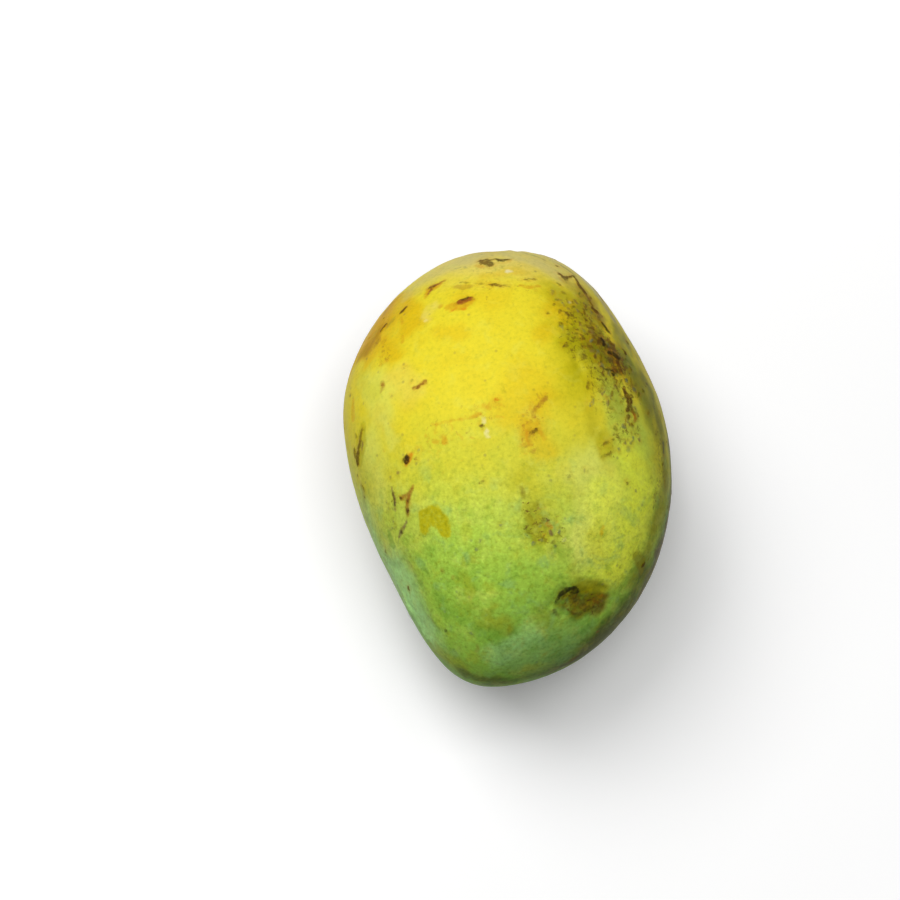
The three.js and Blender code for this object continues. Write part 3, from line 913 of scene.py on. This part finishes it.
# %% Marks at the stalk and on the hidden sides
STAINS += [
    ("moss", 0.6, at_stalk((0, 0, 7.2), (3, 6, 3), (9, 8, 1.2))),
    ("mustard", 0.5, at_stalk((-9, -2, 1.2), (-7.6, -6.6, 1), (-8, -10, 0.3))),
    ("olive", 0.55, at_stalk((6, -8, 1), (9, -14, 1.6), (10, -20, 0.6))),
    ("olive", 0.8, turned((130, 12, 2.2), (137, 8, 2.6), (140, 2, 1.6))),
    ("mustard", 0.8, turned((160, -22, 2.4), (168, -26, 1.8))),
    ("mustard", 0.8, turned((246, 6, 1.8), (251, 0, 2.2))),
    ("rust", 0.6, turned((232, 18, 0.5), (236, 14, 0.9), (236, 8, 0.4))),
    ("plum", 0.6, turned((98, 18, 0.4), (100, 12, 0.7), (99, 5, 0.4))),
    ("moss", 0.7, turned((205, 28, 0.6), (202, 16, 1.2), (198, 4, 0.9), (196, -8, 0.5))),
]
CRUSTS += [
    ("soot", 0.85, at_stalk((0, 0, 5.6), (2.6, 4.6, 2.4), (5.6, 7, 1))),
    ("umber", 0.8, at_stalk((-5, 2, 1.8), (-7.4, 3.4, 0.7))),
    ("soot", 0.8, at_stalk((1, -5, 1.6), (2, -9, 1), (1.6, -15, 0.7), (2.6, -21, 0.4))),
    ("umber", 0.8, at_stalk((9.4, 8.4, 0.7), (13, 9.4, 0.6))),
    ("umber", 0.8, at_stalk((-12, -3, 0.6), (-14, -6, 0.4))),
    ("soot", 0.8, turned((206, 24, 0.4), (202, 14, 0.8), (199, 5, 0.5))),
    ("soot", 0.85, turned((118, 22, 0.9), (121, 19, 0.6))),
    ("umber", 0.85, turned((112, -12, 0.5), (115, -17, 0.8), (113, -22, 0.4))),
    ("soot", 0.85, turned((148, -16, 1.1))),
    ("umber", 0.8, turned((236, -14, 0.8), (239, -18, 0.5))),
    ("umber", 0.8, turned((258, 20, 0.4), (262, 14, 0.6))),
]
print(len(STAINS), "stains and", len(CRUSTS), "crusts drawn one by one")

# %% [markdown]
# The smallest marks are too many to draw. They are strewn by a seeded random draw, so that
# they fall in the same places each time: first the dirt of the shoulder, which follows a
# line down the back's side of the cheek, and then short strokes all over the far sides. The
# high powers make most of the marks small and leave a few large ones, as on the real skin.

# %% Strewn marks
SHOULDER_MARKS = 90
SHOULDER_SPREAD = 3.4
STREWN_MARKS = 210

draw = random.Random(41)
for number in range(SHOULDER_MARKS):
    share = draw.random()
    rightward = 15 + 18 * share + draw.gauss(0, SHOULDER_SPREAD)
    upward = 46 - 34 * share + draw.gauss(0, SHOULDER_SPREAD)
    size = 0.3 + 0.35 * draw.random() ** 2
    colour = draw.choice(["umber", "umber", "moss", "slate", "plum"])
    long, lean = draw.uniform(0, 1.2), draw.uniform(-0.8, 0.8)
    stroke = seen((rightward, upward, size), (rightward + lean, upward - long, size * 0.7))
    CRUSTS.append((colour, draw.uniform(0.35, 0.75), stroke))
for number in range(STREWN_MARKS):
    turn, at = draw.uniform(66, 292), draw.uniform(-50, 48)
    size = 0.25 + 0.55 * draw.random() ** 3
    heading, long = draw.uniform(0, math.tau), 3.4 * draw.random() ** 3
    colour = draw.choice(["umber", "umber", "soot", "slate", "plum", "rust"])
    far_end = (turn + 1.4 * long * math.cos(heading), at + long * math.sin(heading), size * 0.6)
    stroke = turned((turn, at, size), far_end)
    (STAINS if colour == "rust" else CRUSTS).append((colour, draw.uniform(0.45, 0.85), stroke))
print(len(STAINS), "stains and", len(CRUSTS), "crusts with those of the hidden sides")

# %% [markdown]
# ## Soot and rust specks
# Some skin is so thick with specks that drawing each one would be hopeless. There only the
# density is painted, from 0 to 1, and the material scatters the specks by it.

# %% Speck density
SOOTY = [
    # density, fade, stroke
    (1.0, 4, seen((25, 32.5, 0.8), (28.5, 28.6, 1.2), (29.4, 25, 0.6))),
    (0.6, 6, seen((19, 44, 0.6), (22, 38, 1.4))),
    (0.85, 6, seen((23, 35, 1.4), (25, 33, 1.5), (30, 26, 1.4))),
    (0.65, 6, seen((15, 40, 1), (19, 30, 1.5), (24, 22, 1.5), (32, 20, 1.4))),
    (0.6, 4, seen((31, 20, 1), (33, 12, 1.4), (31, 5, 1))),
    (0.4, 6, seen((25, 24, 3), (29, 6, 2))),
    (0.55, 4, seen((5, -12, 1), (8, -18, 1.4), (12, -20, 1.4))),
    (0.6, 3, seen((16, -38, 2), (22, -38, 2))),
    (0.5, 5, seen((37, 20, 1), (40, 4, 1), (39, -10, 1))),
    (0.35, 3, seen((-30, -9, 1), (-31, -18, 1))),
    (0.35, 3, seen((-8, 52, 1), (2, 51, 1))),
    (0.6, 7, turned((80, 34, 2), (92, 20, 3), (86, 2, 2))),
    (0.5, 7, turned((138, 10, 3), (150, -8, 3))),
    (0.55, 6, turned((200, 24, 2), (205, 0, 3), (196, -16, 2))),
    (0.4, 8, turned((255, 10, 3), (240, -20, 3))),
    (0.7, 5, at_stalk((0, 0, 7))),
]
RUSTY = [
    # density, fade, stroke
    (0.6, 4, seen((9, 16, 1), (6, 9, 1.4), (6, 4, 1))),
    (0.4, 5, seen((-20, 7, 2), (-15, 7, 2), (-4, 15, 1.5))),
    (0.55, 4, seen((-32, 38, 1), (-36, 32, 1), (-33, 29, 1))),
    (0.35, 5, seen((-8, 46, 2), (4, 48, 2))),
    (0.45, 4, seen((6, -11, 1), (9, -17, 1.5))),
    (0.25, 3, seen((23, -37.5, 2))),
    (0.6, 10, turned((235, 22, 3), (262, 30, 3), (278, 32, 2))),
    (0.45, 7, turned((140, 26, 3), (165, 14, 3))),
    (0.4, 6, turned((195, -20, 3))),
]


def density(points, patches):
    """The densest of the patches at each point, from 0 to 1."""
    total = np.zeros(len(points))
    for amount, fade_out, stroke in patches:
        total = np.maximum(total, amount * smooth_step(fade_out, 0, outside_stroke(points, stroke)))
    return total


soot = density(adrift, SOOTY)
russet = density(adrift, RUSTY)
print("mean soot:", soot.mean().round(3), "mean rust:", russet.mean().round(3))

# %% [markdown]
# ## Handing the marks to the material
# Where marks overlap, a point belongs to the one that it lies deepest in. Its depth, and
# that mark's colour and strength, are stored on the mesh as attributes, and a material reads
# those as it reads a texture.

# %% Marks on the points
DEEPEST = 3.0  # mm; deeper than this makes no difference to a mark


def lay(marks, points):
    """How deep in mm each point lies in its deepest mark, and that one's colour and strength."""
    depth = np.full(len(points), -DEEPEST)
    colour = np.zeros((len(points), 4))
    for name, strength, stroke in marks:
        inside = -outside_stroke(points, stroke)
        nearer = inside > depth
        depth[nearer] = inside[nearer]
        colour[nearer] = pigment(name) + [strength]
    return np.clip(depth, -DEEPEST, DEEPEST), colour


ragged = wandering(rest, 2.2, 0.3, seed=9)
stain_depth, stain_colour = lay(STAINS, ragged)
crust_depth, crust_colour = lay(CRUSTS, ragged)


def keep(piece, name, values):
    """Stores one number, or one colour, for each point of a piece, for its material to read."""
    kind = "FLOAT" if values.ndim == 1 else "FLOAT_COLOR"
    layer = piece.data.attributes.new(name, kind, "POINT")
    if values.ndim == 1:
        layer.data.foreach_set("value", values.astype(np.float32))
        return
    if values.shape[1] == 3:
        values = np.hstack([values, np.ones((len(values), 1))])
    layer.data.foreach_set("color", values.astype(np.float32).ravel())


keep(skin, "ground", ground)
keep(skin, "stain_depth", stain_depth)
keep(skin, "stain_colour", stain_colour)
keep(skin, "crust_depth", crust_depth)
keep(skin, "crust_colour", crust_colour)
# The green mottles are kept off the painted sheen of the belly's edge, and off dark ground, which is both
# stains and the painted shade of the rims.
painted_sheen_band = density(adrift, [(0.55, 6, seen((-28.6, -30, 2.6), (-25.5, -38, 2), (-21, -46, 1)))])
dark_stain_and_shade = smooth_step(0.14, 0.03, ground.mean(axis=1))
keep(skin, "unripe", smooth_step(6, -34, ripeness) * (1 - painted_sheen_band) * (1 - dark_stain_and_shade))
keep(skin, "soot", soot)
keep(skin, "russet", russet)
print("stained:", int((stain_depth > 0).sum()), "crusted:", int((crust_depth > 0).sum()), "points")

# %% [markdown]
# ## Relief
# The skin is not as smooth as an egg. It has low swellings, a hollow where the bruise sank,
# a nub above the tip, folds that pucker round the stalk, and scabs that stand proud. All of
# it is small, but it catches the light, and in a printed or milled copy nothing else would
# show. Each point moves along its normal. The flat that the fruit rests on stays flat. Last,
# the skin is scaled by a hair, so that its box is the solid's.

# %% Raise and sink
DENTS = [
    # depth in mm, below zero for a swelling, fade, stroke
    (0.8, 6, seen((16, -38, 1.5), (21.5, -37, 2))),
    (0.35, 1.5, seen((17, -38.5, 0.8), (22, -38.2, 0.8))),
    (-0.5, 3, seen((-27.2, -37.6, 0.5), (-26.4, -39.4, 0.3))),
    (0.7, 8, seen((-27, -31, 1), (-23, -42, 1))),
    (0.35, 5, seen((-24, 40, 0.5), (-21, 44, 0.5))),
    (0.3, 3, seen((16.5, 29, 0.5), (18.8, 23, 0.5))),
    (0.4, 7, seen((3.5, -6, 1), (7, -16, 2))),
    (0.5, 8, turned((134, 8, 3), (142, 0, 3))),
    (0.6, 7, turned((164, -24, 2))),
    (0.5, 8, turned((246, 4, 2))),
    (0.4, 6, turned((95, -18, 2), (100, -26, 2))),
]
SWELLING = 0.3  # these six are heights in mm
RIPPLE = 0.09
PEBBLING = 0.02
SCAB_HEIGHT = 0.16
STAIN_DEPTH = 0.04
PUCKER = 0.22
PUCKERS = 11  # folds round the stalk

lift = SWELLING * clouds(rest, 26, seed=31, octaves=1) + RIPPLE * clouds(rest, 7, seed=32)
lift += PEBBLING * clouds(rest, 1.2, seed=33, octaves=1)
for depth, fade_out, stroke in DENTS:
    lift -= depth * smooth_step(fade_out, 0, outside_stroke(adrift, stroke))
lift += SCAB_HEIGHT * smooth_step(-0.3, 0.4, crust_depth) * crust_colour[:, 3]
lift -= STAIN_DEPTH * smooth_step(-0.2, 0.5, stain_depth)
offset = (rest - np.array(STALK_AXIS)) / MM
radius = np.hypot(offset[:, 0], offset[:, 2])
turn = np.arctan2(offset[:, 0], offset[:, 2])
ring = smooth_step(5, 7, radius) * smooth_step(17, 8, radius) * (rest[:, 1] > 0)
lift += PUCKER * ring * np.cos(PUCKERS * turn + 4 * clouds(rest, 9, seed=34))
lift *= smooth_step(0.3, 5, rest[:, 2] / MM)

normals = np.empty(len(rest) * 3)
skin.data.vertices.foreach_get("normal", normals)
raised = rest + normals.reshape(-1, 3) * lift[:, None] * MM


def fitted(points, low, high):
    """The points scaled a hair along each axis, so that their box is exactly the given one."""
    share = (points - points.min(axis=0)) / (points.max(axis=0) - points.min(axis=0))
    return np.array(low) + share * (np.array(high) - np.array(low))


skin.data.vertices.foreach_set("co", fitted(raised, *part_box("fruit")).ravel())
skin.data.update()
print("the relief runs from", lift.min().round(2), "to", lift.max().round(2), "mm")

# %% [markdown]
# ## The skin's finish
# A few short helpers keep the materials readable. Most of them add one node and join it to
# what it reads, so a material can be written down in the order in which its layers lie.

# %% Node helpers
def node(tree, kind, inputs=(), **settings):
    """A new node. Inputs are (socket, value) pairs, and a value may be another node's output."""
    made = tree.nodes.new(kind)
    for name, value in settings.items():
        setattr(made, name, value)
    for socket, value in inputs:
        if isinstance(value, bpy.types.NodeSocket):
            tree.links.new(value, made.inputs[socket])
        else:
            made.inputs[socket].default_value = value
    return made


def calculate(tree, operation, first, second=0.0, third=0.0):
    """One sum on numbers or outputs. MULTIPLY_ADD is first times second plus third."""
    inputs = ((0, first), (1, second), (2, third))
    return node(tree, "ShaderNodeMath", inputs, operation=operation).outputs[0]


def fade(tree, value, low, high):
    """0 at low, 1 at high, and smooth between. Low may be the larger one."""
    inputs = (("Value", value), ("From Min", low), ("From Max", high))
    return node(tree, "ShaderNodeMapRange", inputs, interpolation_type="SMOOTHSTEP").outputs["Result"]


def over(tree, under, colour, share, blend="MIX"):
    """A colour laid over another, by a share from 0 to 1."""
    inputs = ((0, share), (6, under), (7, colour))
    return node(tree, "ShaderNodeMix", inputs, data_type="RGBA", blend_type=blend).outputs[2]


def grain(tree, coords, size, detail=2.0, roughness=0.5, distortion=0.0):
    """Noise from 0 to 1 in patches of about the given size in millimetres."""
    scale = 1000 / size
    inputs = (("Vector", coords), ("Scale", scale), ("Detail", detail), ("Roughness", roughness))
    return node(tree, "ShaderNodeTexNoise", inputs + (("Distortion", distortion),)).outputs["Fac"]


def stored(tree, name, output="Fac"):
    """What was kept on the points under a name."""
    return node(tree, "ShaderNodeAttribute", attribute_name=name).outputs[output]


def rgba(name):
    """A named colour as a colour socket takes it."""
    return pigment(name) + [1.0]


def empty_material(name):
    """A new material without nodes, and its tree."""
    material = bpy.data.materials.new(name)
    material.use_nodes = True
    material.node_tree.nodes.clear()
    return material, material.node_tree


def coat(piece, material):
    """Gives a piece its one material, and shades its faces as one smooth surface."""
    piece.data.materials.clear()
    piece.data.materials.append(material)
    for polygon in piece.data.polygons:
        polygon.use_smooth = True


# %% [markdown]
# The wax on a mango's skin is clear and satin, so it gets a low reflection. What gives the
# skin its life is colour at four sizes: patches of a finger's width, mottles of a few
# millimetres, grain of about one, and pores. Green skin is mottled more than yellow.

# %% The skin's ground and mottles
wax, tree = empty_material("mango_wax")
coords = node(tree, "ShaderNodeTexCoord").outputs["Object"]
unripe = stored(tree, "unripe")


def share_of(value, amount, extra=0.0):
    """The value scaled by an amount, and by a further amount where the skin is unripe."""
    scale = calculate(tree, "MULTIPLY_ADD", unripe, extra, amount)
    return calculate(tree, "MULTIPLY", value, scale)


colour = stored(tree, "ground", "Color")
patchy = fade(tree, grain(tree, coords, 9, 3), 0.45, 0.72)
colour = over(tree, colour, rgba("gold"), share_of(patchy, 0.2, -0.2))
pale = fade(tree, grain(tree, coords, 5, 3, 0.6, 0.4), 0.5, 0.72)
colour = over(tree, colour, rgba("sage"), share_of(pale, 0.16, 0.1))
mottle = fade(tree, grain(tree, coords, 3.6, 4, 0.62, 0.3), 0.48, 0.72)
colour = over(tree, colour, rgba("deep"), share_of(mottle, 0.02, 0.42))
cool = grain(tree, coords, 6, 3, 0.6, 0.3)
colour = over(tree, colour, rgba("jade"), share_of(fade(tree, cool, 0.52, 0.72), 0.0, 0.5))
colour = over(tree, colour, rgba("mustard"), share_of(fade(tree, cool, 0.46, 0.28), 0.0, 0.28))
blotch = fade(tree, grain(tree, coords, 1.9, 3, 0.6), 0.54, 0.74)
colour = over(tree, colour, rgba("olive"), share_of(blotch, 0.1, 0.16))
print("ground and mottles:", len(tree.nodes), "nodes")

# %% [markdown]
# Lenticels are the pores of the skin, pinkish tan on yellow skin and grey on green skin.
# Only some of the cells of a Voronoi pattern get one. Soot and rust are grain cut off at a
# height that the painted density lowers, so they crowd and grow together where it is high.

# %% Pores and specks
SPECK_LEVEL = 0.76  # grain and density together must pass this


def pitted(colour, spacing, width, strength):
    """Pores about as many millimetres apart as spacing, and as wide as width."""
    inputs = (("Vector", coords), ("Scale", 1000 / spacing), ("Randomness", 1.0))
    pores = node(tree, "ShaderNodeTexVoronoi", inputs)
    chosen = node(tree, "ShaderNodeSeparateColor", (("Color", pores.outputs["Color"]),)).outputs["Red"]
    reach = width / spacing / 2
    share = fade(tree, pores.outputs["Distance"], reach * 1.6, reach * 0.3)
    share = calculate(tree, "MULTIPLY", share, fade(tree, chosen, 0.3, 1.0))
    pore_colour = over(tree, rgba("plum"), rgba("slate"), unripe)
    return over(tree, colour, pore_colour, calculate(tree, "MULTIPLY", share, strength))


def speckled(colour, pigment_name, density_name, size, soft, strength):
    """Specks of about the given size in mm, crowded where the stored density is high."""
    painted = stored(tree, density_name)
    soil = calculate(tree, "MULTIPLY_ADD", painted, 0.3, grain(tree, coords, size, 4, 0.65, 0.5))
    specks = fade(tree, soil, SPECK_LEVEL - soft, SPECK_LEVEL + soft)
    share = calculate(tree, "MULTIPLY", specks, strength)
    return over(tree, colour, rgba(pigment_name), share)


colour = pitted(colour, 3.4, 0.8, 0.4)
colour = speckled(colour, "olive", "soot", 4, 0.14, 0.6)
colour = speckled(colour, "amber", "russet", 2.6, 0.12, 0.45)
colour = speckled(colour, "umber", "soot", 2.2, 0.1, 0.5)
colour = speckled(colour, "rust", "russet", 1.2, 0.07, 0.4)
colour = speckled(colour, "umber", "soot", 1.2, 0.06, 0.7)
print("with pores and specks:", len(tree.nodes), "nodes")

# %% [markdown]
# A mark's depth was worked out for each point of the mesh. The material roughens it with
# grain before it cuts the edge. The skin round a crust is tanned, amber where it is ripe and
# olive where it is green, so each crust also lays a faint halo.

# %% Stains and crusts
def marked(colour, kind, soft, ragged):
    """A colour with the stains or the crusts laid over it, and where they are.

    Soft is how many millimetres the edge takes, and ragged how far the grain pushes it about.
    """
    rough = calculate(tree, "SUBTRACT", grain(tree, coords, 1.5, 4, 0.65), 0.5)
    depth = calculate(tree, "MULTIPLY_ADD", rough, ragged, stored(tree, kind + "_depth"))
    inside = fade(tree, depth, -soft, soft)
    uneven = fade(tree, grain(tree, coords, 1.1, 3, 0.6), 0.3, 0.55)
    share = calculate(tree, "MULTIPLY", inside, stored(tree, kind + "_colour", "Alpha"))
    share = calculate(tree, "MULTIPLY", share, calculate(tree, "MULTIPLY_ADD", uneven, 0.3, 0.7))
    return over(tree, colour, stored(tree, kind + "_colour", "Color"), share), inside


colour = marked(colour, "stain", 0.45, 1.6)[0]
halo = fade(tree, stored(tree, "crust_depth"), -1.7, 0.2)
halo = calculate(tree, "MULTIPLY", halo, fade(tree, grain(tree, coords, 1.6, 4, 0.7), 0.36, 0.66))
halo = calculate(tree, "MULTIPLY", halo, stored(tree, "crust_colour", "Alpha"))
tan = over(tree, rgba("amber"), rgba("olive"), unripe)
colour = over(tree, colour, tan, calculate(tree, "MULTIPLY", halo, 0.55))
colour, crusted = marked(colour, "crust", 0.3, 1.7)
print("with stains and crusts:", len(tree.nodes), "nodes")

# %% [markdown]
# Last come the fine grain, which darkens and lightens the colour by turns and also makes
# the bump, and the gloss. Crusts are rougher than the wax, and higher.

# %% Grain and gloss
DARKER, LIGHTER = (0.5, 0.56, 0.42, 1), (1.5, 1.5, 1.7, 1)  # the colour is multiplied by these
BUMP_HEIGHT = 0.15 * MM

pebble = grain(tree, coords, 1.0, 3, 0.65)
shade = fade(tree, pebble, 0.52, 0.26)
light = fade(tree, pebble, 0.48, 0.8)
colour = over(tree, colour, DARKER, share_of(shade, 0.24, 0.36), "MULTIPLY")
colour = over(tree, colour, LIGHTER, share_of(light, 0.15, 0.4), "MULTIPLY")

satin = calculate(tree, "MULTIPLY_ADD", patchy, 0.08, 0.44)
roughness = calculate(tree, "MULTIPLY_ADD", crusted, 0.25, satin)
height = calculate(tree, "MULTIPLY_ADD", crusted, 0.8, pebble)
bump = node(tree, "ShaderNodeBump", (("Height", height), ("Strength", 0.5), ("Distance", BUMP_HEIGHT)))
shader_inputs = (("Base Color", colour), ("Roughness", roughness), ("Normal", bump.outputs["Normal"]))
shader_inputs += (("IOR", 1.42), ("Specular IOR Level", 0.06))
shader = node(tree, "ShaderNodeBsdfPrincipled", shader_inputs)
node(tree, "ShaderNodeOutputMaterial", (("Surface", shader.outputs["BSDF"]),))
coat(skin, wax)
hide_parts("fruit")
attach(skin, "root")
print("the skin's material has", len(tree.nodes), "nodes")

# %% [markdown]
# ## The stub of the stalk
# Where the stalk broke off, a corky button is left in the skin's dimple: a lobed, cracked
# rim round the paler, fibrous end of the stalk. It is turned on a lathe, so to say: a
# profile is spun round the stalk's axis. Then the round shape is spoiled on purpose.

# %% Spin the profile
ROOT = 3.2  # mm that the stub reaches down into the fruit from the dimple's floor
FLOOR_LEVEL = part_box("stem_stub")[0].y + ROOT * MM
PROFILE = [
    # radius and height above the dimple's floor, in mm
    (0, -ROOT),
    (2.9, -ROOT),
    (2.95, -0.4),
    (4.5, 0.0),
    (5.15, 0.5),
    (4.9, 1.05),
    (4.1, 1.4),
    (3.3, 1.3),
    (2.9, 0.85),
    (2.5, 1.15),
    (1.3, 1.25),
    (0, 1.1),
]
SPOKES = 64

stub_form = bmesh.new()
corners = [stub_form.verts.new((radius * MM, height * MM, 0)) for radius, height in PROFILE]
outline = [stub_form.edges.new(pair) for pair in zip(corners, corners[1:])]
bmesh.ops.spin(
    stub_form,
    geom=corners + outline,
    cent=(0, 0, 0),
    axis=(0, 1, 0),
    dvec=(0, 0, 0),
    angle=math.tau,
    steps=SPOKES,
    use_merge=True,
)
bmesh.ops.remove_doubles(stub_form, verts=stub_form.verts[:], dist=SAME_PLACE)
bmesh.ops.recalc_face_normals(stub_form, faces=stub_form.faces[:])
stub = piece_from(stub_form, "stalk_stub")
subdivide(stub, SUBDIVISIONS)
print("the stub has", len(stub.data.polygons), "faces")

# %% [markdown]
# Nothing that grew is truly round. The rim gets lobes, lumps and cracks, and the broken end
# splits into a three-armed star, as a drying twig does. Cosines of the turn about the axis
# set how many there are, and noise pushes each one out of its place.

# %% Spoil the round shape
LOBES = (
    # how many, turned by how many radians, and how deep, as a share of the radius
    (3, 0.6, 0.07),
    (5, 0.0, 0.04),
)
CRACKS = 7  # in the rim
SPLITS = 3  # in the broken end
LUMP_HEIGHT = 0.22  # mm
FIBRE_HEIGHT = 0.1
CRACK_DEPTH = 0.45
SPLIT_DEPTH = 0.4

round_form = points_of(stub.data) / MM
reach = np.hypot(round_form[:, 0], round_form[:, 2])
turn = np.arctan2(round_form[:, 0], round_form[:, 2])
lobed = 1 + sum(deep * np.cos(count * turn + shift) for count, shift, deep in LOBES)
form = round_form * np.stack([lobed, np.ones_like(lobed), lobed], axis=1)
on_top = smooth_step(0.2, 0.9, form[:, 1])
on_rim = smooth_step(2.8, 3.6, reach) * on_top
lumps = clouds(form * MM, 1.6, seed=51)
fibres = clouds(form * MM * np.array([1, 0.3, 1]), 0.5, seed=52)
crack = smooth_step(0.9, 1.0, np.cos(CRACKS * turn + 3 * lumps)) * on_rim
split = smooth_step(0.86, 1.0, np.cos(SPLITS * turn + 1 + 2.5 * lumps)) * on_top
split *= smooth_step(3.4, 2, reach) * smooth_step(0.2, 0.9, reach)
rough = on_top * (LUMP_HEIGHT * lumps + FIBRE_HEIGHT * fibres)
form[:, 1] += rough - CRACK_DEPTH * crack - SPLIT_DEPTH * split
form[:, [0, 2]] *= (1 + 0.05 * lumps * smooth_step(-0.4, 0.4, form[:, 1]))[:, None]
place = np.array([STALK_AXIS.x, FLOOR_LEVEL, STALK_AXIS.z])
stub.data.vertices.foreach_set("co", fitted(form * MM + place, *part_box("stem_stub")).ravel())
stub.data.update()
keep(stub, "crack", np.maximum(crack, split))
keep(stub, "heart", smooth_step(3.4, 2.2, reach) * on_top)

# %% [markdown]
# Dried sap has turned the cork almost black. The broken end of the stalk is lighter, and
# the cracks hold the darkest brown. It is dry, so it hardly shines.

# %% The stub's cork
WOOD = (0.23, 0.13, 0.055, 1)
WEATHERED = (0.16, 0.12, 0.08, 1)
BARK_HEIGHT = 0.2 * MM

cork, tree = empty_material("dry_cork")
coords = node(tree, "ShaderNodeTexCoord").outputs["Object"]
browned = fade(tree, grain(tree, coords, 1.1, 4, 0.65), 0.4, 0.75)
colour = over(tree, rgba("soot"), rgba("umber"), browned)
bark = grain(tree, coords, 0.35, 3, 0.6)
wood = over(tree, rgba("umber"), WOOD, fade(tree, bark, 0.35, 0.7))
colour = over(tree, colour, wood, calculate(tree, "MULTIPLY", stored(tree, "heart"), 0.8))
grey = fade(tree, grain(tree, coords, 0.7, 3, 0.7), 0.58, 0.75)
colour = over(tree, colour, WEATHERED, calculate(tree, "MULTIPLY", grey, 0.25))
colour = over(tree, colour, rgba("soot"), stored(tree, "crack"))
bump = node(tree, "ShaderNodeBump", (("Height", bark), ("Strength", 0.6), ("Distance", BARK_HEIGHT)))
dryness = calculate(tree, "MULTIPLY_ADD", bark, 0.3, 0.62)
shader_inputs = (("Base Color", colour), ("Roughness", dryness), ("Normal", bump.outputs["Normal"]))
shader = node(tree, "ShaderNodeBsdfPrincipled", shader_inputs + (("Specular IOR Level", 0.15),))
node(tree, "ShaderNodeOutputMaterial", (("Surface", shader.outputs["BSDF"]),))
coat(stub, cork)
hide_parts("stem_stub")
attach(stub, "root")
print("the stub's material has", len(tree.nodes), "nodes")

# %% [markdown]
# ## The studio
# The floor is a sheet of white paper. It looks white to the eye and in reflections, but it
# throws little light back up at the fruit, so the sides of the fruit near the table stay
# dark and the outline reads clearly. It glows more the farther it is, where the lamps no
# longer reach, so that it meets the white sky without a dark horizon. It keeps the shadow.

# %% Floor
PAPER_WHITE = 1.0
PAPER_BOUNCE = 0.08
PAPER_GLOW = 0.09
NEAR, FAR = 0.08, 0.9  # metres from the fruit, between which the glow grows to full

plane = bmesh.new()
bmesh.ops.create_grid(plane, x_segments=1, y_segments=1, size=4)
floor = piece_from(plane, "floor")
paper, tree = empty_material("floor_paper")


def looked_at(tree):
    """1 where the eye sees the surface, straight or in a reflection, and 0 for stray light."""
    path = node(tree, "ShaderNodeLightPath").outputs
    seen_straight = calculate(tree, "MAXIMUM", path["Is Camera Ray"], path["Is Glossy Ray"])
    return calculate(tree, "MAXIMUM", seen_straight, path["Is Transmission Ray"])


def seen_or_stray(tree, stray, straight):
    """One number for what the eye sees, and another for stray light."""
    inputs = (("Value", looked_at(tree)), ("To Min", stray), ("To Max", straight))
    return node(tree, "ShaderNodeMapRange", inputs).outputs["Result"]


whiteness = seen_or_stray(tree, PAPER_BOUNCE, PAPER_WHITE)
channels = (("Red", whiteness), ("Green", whiteness), ("Blue", whiteness))
paper_colour = node(tree, "ShaderNodeCombineColor", channels).outputs["Color"]
paper_shader = node(tree, "ShaderNodeBsdfDiffuse", (("Color", paper_colour),)).outputs["BSDF"]
place_on_paper = node(tree, "ShaderNodeTexCoord").outputs["Object"]
away = node(tree, "ShaderNodeVectorMath", ((0, place_on_paper),), operation="LENGTH").outputs["Value"]
far = fade(tree, away, NEAR, FAR)
glow = calculate(tree, "MULTIPLY_ADD", far, 1 - PAPER_GLOW, PAPER_GLOW)
glow = calculate(tree, "MULTIPLY", looked_at(tree), glow)
paper_glow = node(tree, "ShaderNodeEmission", (("Strength", glow),)).outputs["Emission"]
lit_paper = node(tree, "ShaderNodeAddShader", ((0, paper_shader), (1, paper_glow))).outputs["Shader"]
node(tree, "ShaderNodeOutputMaterial", (("Surface", lit_paper),))
floor.data.materials.append(paper)
print("the floor is", round(floor.dimensions.x, 1), "m wide")

# %% [markdown]
# Two large soft lamps light the fruit: the key from the stalk's side and the belly's, and a
# second one high above, not far from the eye's line, which keeps the near cheek even. A weak
# low one fills the belly's edge. The sky is white where it is looked at, and gives only a
# little light. Smaller lamps would put hard white spots on the wax.

# %% Lamps and sky
SKY_LIGHT = 0.08
world = bpy.data.worlds.new("studio")
bpy.context.scene.world = world
world.use_nodes = True
sky = world.node_tree
sky_strength = seen_or_stray(sky, SKY_LIGHT, 1.0)
sky.nodes["Background"].inputs["Color"].default_value = (1, 1, 1, 1)
sky.links.new(sky_strength, sky.nodes["Background"].inputs["Strength"])


def softbox(name, place, size, power):
    """A square area lamp that faces the fruit, with its place and size in metres."""
    lamp = bpy.data.lights.new(name, "AREA")
    lamp.size = size
    lamp.energy = power
    fixture = bpy.data.objects.new(name, lamp)
    bpy.context.scene.collection.objects.link(fixture)
    fixture.location = place
    fixture.rotation_euler = (MIDDLE - Vector(place)).to_track_quat("-Z", "Y").to_euler()


softbox("key", (-0.45, 0.42, 1.0), 0.7, 7.7)
softbox("front", (0.12, 0.0, 1.15), 0.7, 6.1)
softbox("fill", (-0.95, -0.4, 0.35), 0.5, 1.1)
bpy.context.scene.view_settings.view_transform = "Standard"
print("lamps:", [light.name for light in bpy.data.lights])
